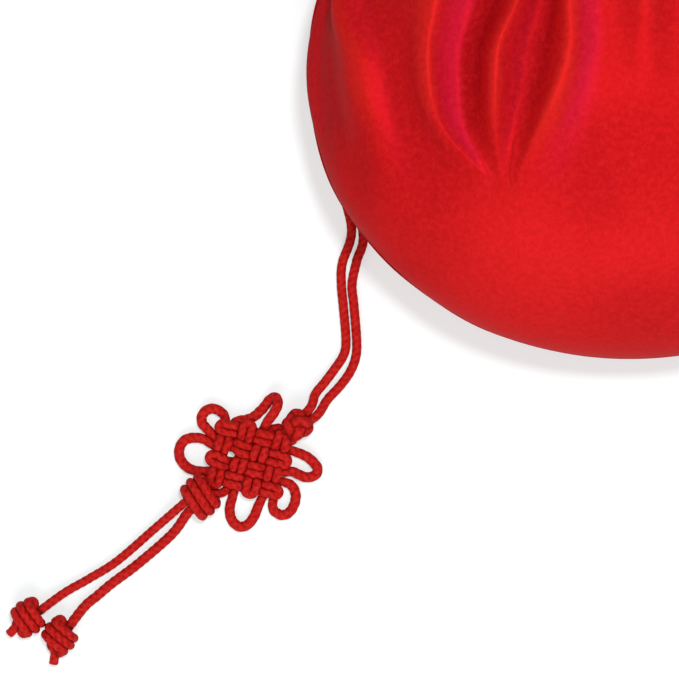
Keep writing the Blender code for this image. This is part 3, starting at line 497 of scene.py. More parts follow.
def cloth_surface(side, phase, row):
    """Pleated outer surface and the masks that colour it. Phase counts ridges and
    valleys: the cloth is the plain bag moved along its normal, highest at a ridge and falling
    as a power of a raised cosine to the valley, so that ridges are narrow and valleys wide. It
    starts as a small ripple at the stitches, grows below the neck and fades out, and it is
    shallower where two ridges run close."""
    places, heights, fades = fold_table(side)
    below = Y_NECK - along(row)
    angles = through(STATIONS, places, below[:, 0])
    lower = np.minimum(phase.astype(int), len(heights) - 2)
    part = phase - lower
    line = np.arange(row.shape[0])[:, None]
    angle = angles[lower, line] * (1 - part) + angles[lower + 1, line] * part
    angle = angle + slit_shift(angle, row)
    neck = np.where(np.abs(row - CASING_ROW) < CASING_HALF_ROWS, NECK_RIPPLE, STITCH_RIPPLE)
    ripple = neck + (RUFFLE_WAVE - neck) * ease(row - 3)
    grown = ease((below - CASING_LENGTH / 2) / FOLD_START)
    sign = np.sign(heights)

    def height(index):
        start = FADE_SHARE * fades[index]
        fade = 1 - ease((below - start) / (fades[index] - start))
        return (sign[index] * ripple * (1 - grown) + heights[index] * grown) * fade

    after_ridge = lower % 2 == 0
    away = np.where(after_ridge, part, 1 - part)
    ridge_share = ((1 + np.cos(PI * away)) / 2) ** RIDGE_SHARPNESS
    ridge = np.where(after_ridge, height(lower), height(lower + 1))
    trough = np.where(after_ridge, height(lower + 1), height(lower))
    room = (angles[lower + 1, line] - angles[lower, line]) * HALF_WIDTH / FOLD_ROOM
    fall = (1 - ridge_share) * (np.clip(room, 0, 1) if side > 0 else 1)
    rise = ridge * (1 - fall) + trough * fall
    plain = bag_point(side, angle, row)
    body = ease((row - WAVES_FROM) / WAVES_GROW) * (1 - ease((row - WAVES_TO) / WAVES_FADE))
    rise = rise + body * soft_waves(
        plain[..., 0], plain[..., 1], WAVE_SEED + side, WAVE_LENGTH, WAVE_COUNT, WAVE_SIZE)
    hollow = soft_hollows(side, plain[..., 0], plain[..., 1])
    rise = rise - HOLLOW_DEPTH * hollow
    shape = plain + rise[..., None] * bag_normal(side, angle, row)
    shape[..., 2] += side * SEAM_GAP / 2
    shape[..., 2] = np.maximum(shape[..., 2], 0)
    # Painted highlight on the crests of the folds
    crest = np.clip((rise - CREST_HIGHLIGHT_START) / CREST_HIGHLIGHT_REACH, 0, 1) ** CREST_HIGHLIGHT_POWER
    # Painted shade in the valleys, near the side seam and in the soft hollows
    valley = np.clip((-rise - VALLEY_SHADE_START) / VALLEY_SHADE_REACH, 0, 1)
    above_seam = np.abs(shape[..., 2] - seam_height(row))
    valley = np.maximum(valley, SEAM_VALLEY_SHADE * np.clip(1 - above_seam / SEAM_SHADE, 0, 1))
    valley = np.maximum(valley, HOLLOW_SHADE * hollow)
    # Painted pink sheen on the flank after a ridge
    last = (len(heights) - 1) // 2
    share = np.take(FLANK_SHEEN_SHARES, np.minimum(lower // 2, last - lower // 2), mode="clip")
    steep = share * np.clip((ridge - trough) / FLANK_SHEEN_DROP, 0, 1) * after_ridge
    flank = steep * np.exp(-((part - FLANK_SHEEN_MIDDLE) / FLANK_SHEEN_REACH) ** 2) * (side > 0)
    # Painted light: the lower belly painted lighter
    belly = ease((below - LIT_BELLY_START) / LIT_BELLY_REACH)
    return shape, {"crest": crest, "valley": valley, "flank": flank, "belly": belly}


def seam_flange(edge, normal, row):
    """Seam allowance: the edge carried straight in, level."""
    level = unit(normal * (1, 1, 0))
    width = SEAM_ALLOWANCE + (NECK_ALLOWANCE - SEAM_ALLOWANCE) * ease(
        (row - ALLOWANCE_ROW) / ALLOWANCE_ROWS)
    width = np.minimum(width, SEAM_ALLOWANCE * ease(row / FOOT_ROWS) + FOOT_ALLOWANCE)
    return edge - level * width[..., None]


def grid_faces(rows, columns, closed=False):
    """Quads of a grid as an array, the last column joined to the first if it is closed."""
    line = np.arange(rows - 1)[:, None] * columns
    place = np.arange(columns if closed else columns - 1)[None, :]
    following = (place + 1) % columns
    return np.stack([line + place, line + following, line + columns + following,
                     line + columns + place], -1).reshape(-1, 4)


def mesh_piece(name, vertices, faces, material, smooth=True):
    """Object from arrays of points and faces."""
    mesh = bpy.data.meshes.new(name)
    mesh.from_pydata(np.asarray(vertices).tolist(), [], [list(map(int, face)) for face in faces])
    mesh.materials.append(material)
    if smooth:
        mesh.shade_smooth()
    piece = bpy.data.objects.new(name, mesh)
    bpy.context.scene.collection.objects.link(piece)
    return piece


def add_values(piece, name, values):
    """One number for each point of a piece, for its material to read."""
    layer = piece.data.attributes.new(name, "FLOAT", "POINT")
    layer.data.foreach_set("value", np.asarray(values, np.float32))


def cloth_piece(name, side, fineness, material):
    """One panel with its seam allowance, closed to a point at the bottom, walled inwards."""
    rows = np.concatenate([
        part + np.arange(1, count + 1) / count for part, count in enumerate(ROWS_IN)])
    folds = 4 * (len(FRONT_RIDGES) - 1) if side > 0 else 2 * BACK_PLEATS
    phases = np.arange(fineness * folds + 1) / fineness
    row, phase = np.meshgrid(rows, phases, indexing="ij")
    shape, masks = cloth_surface(side, phase, row)
    left = seam_flange(shape[:, 0], bag_normal(side, 0 * rows, rows), rows)
    right = seam_flange(shape[:, -1], bag_normal(side, 0 * rows + PI, rows), rows)
    grid = np.concatenate([left[:, None], shape, right[:, None]], axis=1)
    count_rows, count_columns = grid.shape[:2]
    height = SEAM_HEIGHT_BOTTOM + side * SEAM_GAP / 2
    poles = np.array([(0, Y_BOTTOM, height), (0, Y_BOTTOM + SEAM_ALLOWANCE, height)])
    pole = count_rows * count_columns
    inner_pole = pole + 1
    last = count_columns - 1
    faces = grid_faces(count_rows, count_columns).tolist()
    faces += [(inner_pole, pole, 1, 0), (pole, inner_pole, last, last - 1)]
    faces += [(pole, column + 1, column) for column in range(1, last - 1)]
    if side < 0:
        faces = [face[::-1] for face in faces]
    piece = mesh_piece(name, np.vstack([grid.reshape(-1, 3), poles]), faces, material)
    for mask, values in masks.items():
        edge, at_poles = EDGE_MASKS[mask]
        values = np.pad(values, ((0, 0), (1, 1)), constant_values=edge)
        add_values(piece, mask, np.append(values.ravel(), at_poles))
    lay_map(piece, grid)
    add_wall(piece, CLOTH)
    return piece


def add_wall(piece, thickness):
    """Thickness of the cloth, added inwards."""
    wall = piece.modifiers.new("cloth", "SOLIDIFY")
    wall.thickness = thickness
    wall.offset = -1


def run_along(points, axis=0):
    """Distance run from the start at each point of a line, or of each line of a grid."""
    steps = np.linalg.norm(np.diff(points, axis=axis), axis=-1)
    return np.insert(np.cumsum(steps, axis=axis), 0, 0, axis=axis)


def lay_map(piece, grid):
    """UV map in metres: the run across each row from its middle, and the run along."""
    across = run_along(grid, 1)
    across -= across[:, -1:] / 2
    lengthways = run_along(grid)
    flat = np.stack([across.ravel(), lengthways.ravel()], -1)
    flat = np.vstack([flat, [POLE_ON_MAP, POLE_ON_MAP]])
    layer = piece.data.uv_layers.new(name="cloth")
    corners = np.zeros(len(piece.data.loops), np.int32)
    piece.data.loops.foreach_get("vertex_index", corners)
    layer.data.foreach_set("uv", flat[corners].ravel().astype(np.float32))


# Make of the cords: steps along them, sides, plaits, and the domed end of a cut cord
PATH_STEP = 0.00015
CORD_STEP = 0.00017
SOFTENING = 2
CORD_SIDES = 20
PLAITS = 3
PLAIT_LENGTH = 0.0045
PLAIT_DEPTH = 0.09
PLAIT_SHARE = 0.75
PLAIT_POWER = 0.7
END_DOME = 0.12
END_PLAIT = 0.3
# Painted shade where cords press on each other: width of the dark line, how far a neighbour is
# looked for, how far along the cord its own next stretch counts as one
CREVICE_SHADE_WIDTH = 0.0004
CREVICE_SEARCH = 0.003
OWN_STRETCH = 0.0034
CREVICE_STRIDE = 2
CHUNK = 4000


def smooth_path(points):
    """Catmull-Rom curve through rows of x, y, z and radius, in short even steps."""
    points = np.asarray(points, float)
    full = np.vstack([2 * points[0] - points[1], points, 2 * points[-1] - points[-2]])
    pieces = []
    for index in range(1, len(full) - 2):
        a, b, c, d = full[index - 1:index + 3]
        count = max(2, int(np.linalg.norm(c[:3] - b[:3]) / PATH_STEP))
        t = (np.arange(count) / count)[:, None]
        pieces.append(0.5 * (2 * b + (c - a) * t + (2 * a - 5 * b + 4 * c - d) * t ** 2
                             + (3 * b - a - 3 * c + d) * t ** 3))
    return np.vstack(pieces + [points[-1:]])


def even_path(path):
    """The same path cut into equal steps."""
    run = run_along(path[:, :3])
    count = max(4, int(run[-1] / CORD_STEP))
    places = np.linspace(0, run[-1], count + 1)
    return np.stack([np.interp(places, run, path[:, k]) for k in range(path.shape[1])], -1)


def softened(path):
    """Path averaged over a window of steps on both sides, its ends kept."""
    reach = SOFTENING
    window = np.ones(2 * reach + 1) / (2 * reach + 1)
    padded = np.vstack([
        2 * path[0] - path[reach:0:-1], path, 2 * path[-1] - path[-2:-reach - 2:-1]])
    return np.stack([np.convolve(padded[:, k], window, "valid") for k in range(path.shape[1])], -1)


def path_frames(path):
    """Heading and two directions across it at each point, carried along without twisting.
    No path here starts upright."""
    heading = unit(np.gradient(path, axis=0))
    side = np.zeros_like(path)
    side[0] = unit(np.cross(heading[0], (0, 0, 1.0)))
    for index in range(1, len(path)):
        carried = side[index - 1] - heading[index] * (side[index - 1] @ heading[index])
        side[index] = unit(carried)
    return heading, side, np.cross(heading, side)


def braided_tube(name, path, material, closed):
    """Round cord along the path, its radius raised by helical plaits: radius times 1 minus
    depth times 1 minus the ridge, which is a raised cosine of the turn less the twist, with a
    little of the set that winds the other way."""
    path = softened(even_path(path))
    heading, side, up = path_frames(path[:, :3])
    run = np.arange(len(path))[:, None] * CORD_STEP
    turn = (np.arange(CORD_SIDES) / CORD_SIDES * 2 * PI)[None, :]
    twist = 2 * PI * run / PLAIT_LENGTH
    right = (1 + np.cos(PLAITS * (turn - twist))) / 2
    left = (1 + np.cos(PLAITS * (turn + twist))) / 2
    ridge = (PLAIT_SHARE * right + (1 - PLAIT_SHARE) * left) ** PLAIT_POWER
    radius = path[:, 3:4] * (1 + PLAIT_DEPTH / 2 - PLAIT_DEPTH * (1 - ridge))
    around = (np.cos(turn)[..., None] * side[:, None] + np.sin(turn)[..., None] * up[:, None])
    points = path[:, None, :3] + radius[..., None] * around
    rows = len(path)
    vertices = points.reshape(-1, 3)
    faces = grid_faces(rows, CORD_SIDES, closed=True)[:, ::-1].tolist()
    values = ridge.ravel()
    if closed:
        join = grid_faces(2, CORD_SIDES, closed=True)[:, ::-1]
        join = np.where(join >= CORD_SIDES, join - CORD_SIDES, join + (rows - 1) * CORD_SIDES)
        faces += join.tolist()
    else:
        ends = np.array([path[0, :3] - END_DOME * path[0, 3] * heading[0],
                         path[-1, :3] + END_DOME * path[-1, 3] * heading[-1]])
        first = len(vertices)
        vertices = np.vstack([vertices, ends])
        values = np.append(values, (END_PLAIT, END_PLAIT))
        base = (rows - 1) * CORD_SIDES
        for place in range(CORD_SIDES):
            following = (place + 1) % CORD_SIDES
            faces.append((first, place, following))
            faces.append((first + 1, base + following, base + place))
    piece = mesh_piece(name, vertices, faces, material)
    add_values(piece, "plait", values)
    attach(piece, "root")
    return piece, path


# The casing's cord: where it turns out, its points, its bend and the rise of its two ends
LEAVE_ANGLE = 26
RING_POINTS = 40
LEAVE_BEND = 0.6
LEAVE_RISE, LEAVE_SECOND_RISE = 0.0016, 0.0003
# Free cords at the knots: share of the half length, spread for the draw cords, drop
ENTRY_WAY = ((1.5, 1.0, 0.0006), (0.1, 0.6, 0.0))
LEAVE_WAY = ((0.3, 0.0), (1.3, 0.0006))
TAIL_INSIDE = 0.3

# Facing inside the casing
FACING_ROWS, FACING_COLUMNS = 24, 240
FACING_MARGIN = 0.0015
FACING_FLARE = 0.0014
FACING_RIPPLE, FACING_RIPPLES = 0.000125, 20
FACING_CLEARANCE = 0.00002
FACING_THICKNESS = 0.0004

# Sizes of the knots, their places and axes in plan, as in the solids
KNOT_GAP = 0.0001
WEAVE_SQUEEZE = 0.64
EXIT_SPREAD = 1.15
BUTTON_SQUEEZE = 0.85
WRAP_SQUEEZE = 0.9
END_SQUEEZE = 0.78
KNOT_CENTRE = (-0.0803, -0.1011)
KNOT_TURN = -14.5
COLUMN_GAP = 0.0022
ROW_GAP = 0.00173
WEAVE_HOLD = 0.00028
CLOSED_END_RADIUS = 0.0009
CLOSED_END_REACH = 0.0002
CLOSED_END_DROP = 0.0004
FLOOR_CLEARANCE = 0.00005
COIL_POINTS = 10
COIL_ROOM = 1.25
BUTTON_KNOT = ((0.0083, 0.0098), (-0.585, -0.812))
BUTTON_TURNS = 2.5
BUTTON_SWELL = 0.00035
# Ways of a strand inside two knots: share of the half length, spread, rise
BUTTON_WAY = ((-0.4, 1.0, 0.0), (0.3, 1.0, 0.0), (1.0, EXIT_SPREAD, -0.0003))
WRAP_WAY = ((-0.5, 1.0, -0.0008), (0.0, 1.0, 0.0), (0.4, 1.0, 0.0))
WRAP_KNOT = ((-0.0080, -0.0103), (-0.607, -0.797))
WRAP_TURNS = 2.5
WRAP_SWELL = 0.0003
END_KNOT_A = ((-0.1276, -0.1350), (-0.755, -0.656))
END_KNOT_B = ((-0.1208, -0.1390), (-0.550, -0.835))
END_TURNS = 2.5

# Look of the cord inside the knots: fuller than the solids, so that it packs tightly
WOVEN_RADIUS = 0.00098
WOVEN_LIFT = 0.00098
WOVEN_PITCH = 0.00175
EAR_RADIUS = 0.00110
BALL_CORD = 0.00128
BALL_RADIUS = 0.0018
BALL_WEAVE = 0.00035
BALL_BIGHTS, BALL_LEADS, BALL_POINTS = 4, 3, 720
BALL_TILT, BALL_LONG, BALL_WIDE = 0.86, 1.12, 1.06
WRAP_LOOK = 0.00102
WRAP_LOOK_TURNS = 3
WRAP_LOOK_SWELL = 0.0005
WRAP_LEAN = 0.0007
WRAP_POINTS = 240
END_LOOK = 0.00098
END_TIP_A = (0.0054, 0.0)
END_TIP_B = (0.0057, 0.0021)
END_SWELL = 0.0005
END_TUCK = 0.0002
END_PACKING = 1.6
END_TURN_REACH = 1.35
END_TURN_POINTS = 24
END_OUT, END_BEND, END_LEAN, END_DROP = 1.6, 0.55, 0.2, 0.0006
TAIL_LOOK_A, TAIL_LOOK_B = 0.93, 1.06
EAR_GROWTH = 3.2
UNEVENNESS = 0.00017
UNEVEN_LENGTH, UNEVEN_COUNT = 0.009, 5
WEAVE_SEED_A, WEAVE_SEED_B = 21, 31
HOLE_PLACE = (-0.0039, 0.0004)
HOLE_PUSH = 0.0008
HOLE_REACH = 0.0022

WEAVE_RADIUS = WEAVE_SQUEEZE * CORD_RADIUS
WEAVE_LOW = CORD_RADIUS + FLOOR_CLEARANCE
WEAVE_MIDDLE = WEAVE_LOW + WOVEN_LIFT
LYING_HEIGHT = 0.00105


def lying(*places):
    """Points of a cord that lies on the table, from their places in plan."""
    return tuple((x, y, LYING_HEIGHT) for x, y in places)


# Routes of the free cords in the bag's frame, as in the solids
ROUTE_A = (
    (-0.0170, 0.0526, 0.0192), (-0.0212, 0.0522, 0.0150), (-0.0250, 0.0512, 0.0090),
    (-0.0295, 0.0486, 0.0035), (-0.0350, 0.0440, 0.0013),
    *lying(
        (-0.0436, 0.0350), (-0.0515, 0.0230), (-0.0572, 0.0080), (-0.0602, -0.0100),
        (-0.0612, -0.0270), (-0.0605, -0.0410), (-0.0582, -0.0518), (-0.0602, -0.0590),
        (-0.0604, -0.0635), (-0.0600, -0.0680), (-0.0594, -0.0755), (-0.0599, -0.0787),
        (-0.0619, -0.0818),
    ),
    (-0.0640, -0.0846, 0.0012), (-0.0660, -0.0871, 0.0018),
)
ROUTE_B = (
    (-0.0168, 0.0500, 0.0190), (-0.0205, 0.0492, 0.0146), (-0.0240, 0.0478, 0.0086),
    (-0.0282, 0.0452, 0.0033), (-0.0334, 0.0410, 0.0013),
    *lying(
        (-0.0415, 0.0325), (-0.0490, 0.0212), (-0.0546, 0.0070), (-0.0578, -0.0105),
        (-0.0588, -0.0272), (-0.0580, -0.0412), (-0.0557, -0.0530), (-0.0571, -0.0585),
        (-0.0581, -0.0635), (-0.0577, -0.0680), (-0.0571, -0.0755), (-0.0573, -0.0792),
        (-0.0586, -0.0825),
    ),
    (-0.0608, -0.0855, 0.0012), (-0.0634, -0.0883, 0.0018),
)
TAIL_A = (
    (-0.1005, -0.1160, 0.00125), (-0.1086, -0.1230, 0.00105), (-0.1150, -0.1270, 0.00105),
    (-0.1202, -0.1300, 0.0014),
)
TAIL_B = (
    (-0.0968, -0.1172, 0.00125),
    *lying(
        (-0.1041, -0.1236), (-0.1097, -0.1278), (-0.1129, -0.1305),
    ),
    (-0.1158, -0.1330, 0.0014),
)
# Ears of the endless knot in its own plan
EAR_TOP = (
    (0.0015, 0.0077, 0.0020), (0.0020, 0.0094, 0.0029), (0.0027, 0.0114, 0.0036),
    (0.0031, 0.0133, 0.0032), (0.0023, 0.0143, 0.0022), (0.0011, 0.0134, 0.0014),
    (0.0003, 0.0115, 0.0011),
    *lying(
        (-0.0010, 0.0097), (-0.0027, 0.0083), (-0.0044, 0.0073),
    ),
)
EAR_TOP_LEFT = (
    (-0.0073, 0.0074, 0.00105), (-0.0084, 0.0082, 0.00110), (-0.0101, 0.0086, 0.00115),
    (-0.0115, 0.0078, 0.00115), (-0.0122, 0.0063, 0.00115), (-0.0117, 0.0049, 0.00115),
    (-0.0102, 0.0040, 0.00110), (-0.0084, 0.0029, 0.00105),
)
EAR_LEFT = lying(
    (-0.0084, 0.0010), (-0.0104, 0.0016), (-0.0125, 0.0014), (-0.0143, 0.0003),
    (-0.0151, -0.0016), (-0.0145, -0.0037), (-0.0128, -0.0051), (-0.0106, -0.0055),
    (-0.0085, -0.0050),
)
EAR_RIGHT = lying(
    (0.0084, 0.0042), (0.0106, 0.0039), (0.0129, 0.0034), (0.0145, 0.0022), (0.0146, 0.0005),
    (0.0132, -0.0006), (0.0113, -0.0005), (0.0097, -0.0002), (0.0084, -0.0007),
)
EAR_BOTTOM_RIGHT = lying(
    (0.0085, -0.0026), (0.0102, -0.0031), (0.0114, -0.0046), (0.0118, -0.0067),
    (0.0113, -0.0087), (0.0098, -0.0099), (0.0081, -0.0095), (0.0072, -0.0081),
)
EAR_BOTTOM = lying(
    (0.0048, -0.0079), (0.0045, -0.0096), (0.0043, -0.0115), (0.0033, -0.0136),
    (0.0016, -0.0145), (-0.0003, -0.0135), (-0.0013, -0.0112), (-0.0014, -0.0088),
)


def with_radius(points):
    """Points with the radius of the free cord added."""
    points = np.asarray(points, float)
    return np.column_stack([points, np.full(len(points), CORD_RADIUS)])


def knot_frame():
    """Plan axes of the endless knot."""
    turn = math.radians(KNOT_TURN)
    right = np.array([math.cos(turn), math.sin(turn)])
    return right, np.array([-right[1], right[0]])


def from_knot(points):
    """Points of the knot's own plan moved to the bag's frame; height and radius stay."""
    right, up = knot_frame()
    points = np.asarray(points, float)
    plan = np.asarray(KNOT_CENTRE) + points[:, :1] * right + points[:, 1:2] * up
    return np.column_stack([plan, points[:, 2:]])


def in_knot_plan(point):
    """A point of the bag's frame in the endless knot's own plan, with the woven radius."""
    right, up = knot_frame()
    offset = point[:2] - np.asarray(KNOT_CENTRE)
    return np.array([offset @ right, offset @ up, point[2], WOVEN_RADIUS])


def along_axis(axis):
    """Forward and sideways directions of an axis given in plan."""
    forward = unit(np.asarray(axis))
    return forward, np.array([-forward[1], forward[0]])


def knot_axes(place, axis):
    """Centre, axis and sideways direction in the bag's plan of a knot beside the weave."""
    right, up = knot_frame()
    axis = along_axis(axis)[0]
    centre = np.asarray(KNOT_CENTRE) + place[0] * right + place[1] * up
    forward = axis[0] * right + axis[1] * up
    return centre, forward, np.array([-forward[1], forward[0]])


def coil_sizes(cord, strand, turns, swell):
    """Of a coil round two strands side by side: half width and half height of its centreline,
    height of its axis over the table, half its length."""
    apart = strand + KNOT_GAP / 2
    flats = math.cos(PI / COIL_POINTS)
    height = (strand + KNOT_GAP + COIL_ROOM * cord) / flats
    return ((apart + strand + KNOT_GAP + cord) / flats, height,
            height + swell + cord + FLOOR_CLEARANCE,
            (turns * (2 * cord + KNOT_GAP) + 2 * cord) / 2)


BUTTON_HEIGHT, BUTTON_HALF_LENGTH = coil_sizes(
    BUTTON_SQUEEZE * CORD_RADIUS, WEAVE_RADIUS, BUTTON_TURNS, BUTTON_SWELL)[2:]
WRAP_CORD = WRAP_SQUEEZE * CORD_RADIUS
*WRAP_HALVES, WRAP_HEIGHT, WRAP_HALF_LENGTH = coil_sizes(
    WRAP_CORD, CORD_RADIUS, WRAP_TURNS, WRAP_SWELL)


def beside(place, axis, height, lengthways, apart):
    """One point at a distance along and beside the axis of a knot."""
    centre, forward, sideways = knot_axes(place, axis)
    return np.append(centre + lengthways * forward + apart * sideways, height)


def line_places(gap):
    """Eight lines in four pairs, centred, from the positive side."""
    steps = [WOVEN_PITCH, gap] * 3 + [WOVEN_PITCH]
    places = np.concatenate([[0], np.cumsum(steps)])
    return places[-1] / 2 - places


COLUMNS = line_places(COLUMN_GAP)
ROWS = line_places(ROW_GAP)


def woven_line(upright, index, onward):
    """Crossings of one line of the weave, over a pair of the crossing lines, then under the
    next. Onward is down for an upright line and leftward for a level one."""
    line = []
    for other in range(8) if onward else range(7, -1, -1):
        over = ((index // 2 + other // 2) % 2 == 0) == upright
        level = WEAVE_MIDDLE + (WOVEN_LIFT if over else -WOVEN_LIFT)
        hold = WEAVE_HOLD if other % 2 == 0 else -WEAVE_HOLD
        place = (COLUMNS[index], ROWS[other] + hold)
        if not upright:
            place = (COLUMNS[other] + hold, ROWS[index])
        line.append((*place, level, WOVEN_RADIUS))
    return line


def closed_end(start, end):
    """Round turn of the upper pair from one line to its neighbour, seen in plan."""
    start = np.asarray(start)
    end = np.asarray(end)
    middle = (start + end) / 2
    across = unit(start[:2] - end[:2])
    outward = np.sign(middle[:2]) * np.abs(across[::-1])
    points = []
    for angle in (0, 45, 90, 135, 180):
        turn = math.radians(angle)
        plan = (middle[:2] + outward * (CLOSED_END_REACH + CLOSED_END_RADIUS * math.sin(turn))
                + across * CLOSED_END_RADIUS * math.cos(turn))
        points.append((*plan, middle[2] - CLOSED_END_DROP * math.sin(turn), WOVEN_RADIUS))
    return points


def ear(points):
    """Loose loop outside the weave, its full thickness reached just past its feet."""
    share = np.linspace(0, 1, len(points) + 2)[1:-1]
    grown = ease(EAR_GROWTH * np.minimum(share, 1 - share))
    radius = WOVEN_RADIUS + (EAR_RADIUS - WOVEN_RADIUS) * grown
    return [tuple(point) for point in np.column_stack([np.asarray(points), radius])]


def line_pair(upright, index, onward, loop):
    """Out along one line, round its closed end, back along its neighbour, then the ear."""
    out = woven_line(upright, index, onward)
    back = woven_line(upright, index + 1, not onward)
    return out + closed_end(out[-1], back[0]) + back + (ear(loop) if loop else [])


def strand_in_knot(place, axis, height, half_length, apart, way):
    """Way of one strand inside the button knot or the wrapped one, in the endless knot's plan."""
    return [in_knot_plan(beside(place, axis, height + rise, share * half_length, spread * apart))
            for share, spread, rise in way]


def uneven(path, seed):
    """The woven path pulled a little out of line in plan by slow sine waves along it, and
    pressed away from the one small hole left open in the weave, by a bell curve."""
    run = np.arange(len(path)) * PATH_STEP
    for axis in (0, 1):
        path[:, axis] += soft_waves(
            run, 0 * run, seed + axis, UNEVEN_LENGTH, UNEVEN_COUNT, UNEVENNESS)
    right, up = knot_frame()
    away = path[:, :2] - (np.asarray(KNOT_CENTRE) + HOLE_PLACE[0] * right + HOLE_PLACE[1] * up)
    distance = np.linalg.norm(away, axis=1, keepdims=True)
    path[:, :2] += HOLE_PUSH * np.exp(-(distance / HOLE_REACH) ** 2) * away / distance
    return path


# The two woven strands: points before and after the weave, and the line pairs with their ears
WAY_IN_A = ((0.0047, 0.0081, 0.0019), (0.0035, 0.0076, 0.0012), (0.0029, 0.0070, WEAVE_LOW))
WAY_OUT_A = ((-0.0077, -0.0064, WEAVE_LOW), (-0.0081, -0.0073, 0.0016))
WAY_IN_B = ((0.0081, 0.0064, 0.0017), (0.0077, 0.0059, WEAVE_LOW))
WAY_OUT_B = ((-0.0029, -0.0074, WEAVE_LOW), (-0.0038, -0.0086, 0.0016))
PAIRS_A = ((True, 2, True, EAR_TOP), (True, 6, True, EAR_TOP_LEFT),
           (False, 2, False, EAR_LEFT), (False, 6, False, None))
PAIRS_B = ((False, 0, True, EAR_RIGHT), (False, 4, True, EAR_BOTTOM_RIGHT),
           (True, 0, False, EAR_BOTTOM), (True, 4, False, None))


def woven_path(hand, way_in, pairs, way_out, seed):
    """One strand of the endless knot, from inside the button knot to inside the wrapped one."""
    points = strand_in_knot(*BUTTON_KNOT, BUTTON_HEIGHT, BUTTON_HALF_LENGTH,
                            hand * (WEAVE_RADIUS + KNOT_GAP / 2), BUTTON_WAY)
    points += [(*point, WOVEN_RADIUS) for point in way_in]
    for pair in pairs:
        points += line_pair(*pair)
    points += [(*point, WOVEN_RADIUS) for point in way_out]
    points += strand_in_knot(*WRAP_KNOT, WRAP_HEIGHT, WRAP_HALF_LENGTH,
                             hand * (CORD_RADIUS + KNOT_GAP / 2), WRAP_WAY)
    return uneven(smooth_path(from_knot(points)), seed)


def button_path():
    """Ball knot: three leads and four bights round the strands. The latitude swings as a
    cosine of four thirds of the turn, and the height over the ball as the sine of twice that."""
    centre, forward, sideways = knot_axes(*BUTTON_KNOT)
    turn = np.arange(BALL_POINTS) / BALL_POINTS * 2 * PI * BALL_LEADS
    swing = BALL_BIGHTS * turn / BALL_LEADS
    latitude = BALL_TILT * np.cos(swing)
    radius = BALL_RADIUS + BALL_WEAVE * np.sin(2 * swing)
    out = radius * np.cos(latitude)
    plan = (centre + (BALL_LONG * radius * np.sin(latitude))[:, None] * forward
            + (BALL_WIDE * out * np.cos(turn))[:, None] * sideways)
    level = BALL_CORD + BALL_RADIUS + out * np.sin(turn)
    level = np.maximum(level, BALL_CORD)
    return np.column_stack([plan, level, np.full(len(turn), BALL_CORD)])


def wrap_path():
    """Coil round the strands, swollen in its middle by a half wave, its turns leaning."""
    centre, forward, sideways = knot_axes(*WRAP_KNOT)
    t = np.arange(WRAP_POINTS + 1) / WRAP_POINTS
    angle = 2 * PI * WRAP_LOOK_TURNS * t - PI / 2
    grow = WRAP_LOOK_SWELL * np.sin(PI * t)
    lean = WRAP_LEAN * np.cos(angle)
    lengthways = (t - 0.5) * WRAP_LOOK_TURNS * (2 * WRAP_CORD + KNOT_GAP) + lean
    out = (WRAP_HALVES[0] + grow) * np.cos(angle)
    plan = centre + lengthways[:, None] * forward + out[:, None] * sideways
    level = WRAP_HEIGHT + (WRAP_HALVES[1] + grow) * np.sin(angle)
    level = np.maximum(level, WRAP_LOOK)
    return np.column_stack([plan, level, np.full(len(t), WRAP_LOOK)])


END_CORD = END_SQUEEZE * CORD_RADIUS
END_APART = END_CORD + KNOT_GAP / 2
END_HALF_WIDTH = END_APART + 2 * END_CORD + 3 * KNOT_GAP
END_HALF_HEIGHT = 2 * END_CORD + 5 * KNOT_GAP
END_HEIGHT = END_HALF_HEIGHT + END_CORD + FLOOR_CLEARANCE
END_HALF_COIL = END_TURNS * (2 * END_CORD + END_PACKING * KNOT_GAP) / 2


def end_knot_path(place, axis, tip):
    """Through the core, back round it in turns that swell by a half wave, through again and
    out as a stub to its tip, given along and across the axis."""
    forward, sideways = along_axis(axis)
    turn_reach = END_HALF_COIL + END_TURN_REACH * END_CORD
    count = int(END_TURNS * END_TURN_POINTS)
    t = np.arange(count + 1) / count
    angle = 2 * PI * END_TURNS * t
    swell = END_SWELL * np.sin(PI * t) - END_TUCK
    coil_points = np.column_stack([
        END_HALF_COIL * (1 - 2 * t),
        (END_HALF_WIDTH + swell) * np.cos(angle),
        (END_HALF_HEIGHT + swell / 2) * np.sin(angle),
    ])
    turn_out = (END_APART + END_HALF_WIDTH) / 2
    core_in = [(-END_HALF_COIL, END_APART, 0),
               (END_HALF_COIL, END_APART, 0), (turn_reach, turn_out, 0)]
    core_out = [(-turn_reach, -turn_out, 0), (-END_HALF_COIL, -END_APART, 0),
                (END_HALF_COIL, -END_APART, 0),
                (END_HALF_COIL + END_OUT * END_CORD, END_BEND * tip[1] - END_LEAN * END_APART, 0),
                (tip[0], tip[1], -END_DROP)]
    local = np.vstack([core_in, coil_points, core_out])
    plan = np.asarray(place) + local[:, :1] * forward + local[:, 1:2] * sideways
    level = np.maximum(END_HEIGHT + local[:, 2], END_LOOK)
    return smooth_path(np.column_stack([plan, level, np.full(len(local), END_LOOK)]))


def end_knot_face(place, axis):
    """Where the tail ends inside the end knot, past its first turn."""
    forward, sideways = along_axis(axis)
    plan = (np.asarray(place) - TAIL_INSIDE * END_HALF_COIL * forward
            + END_APART / 2 * sideways)
    return (plan[0], plan[1], END_HEIGHT)


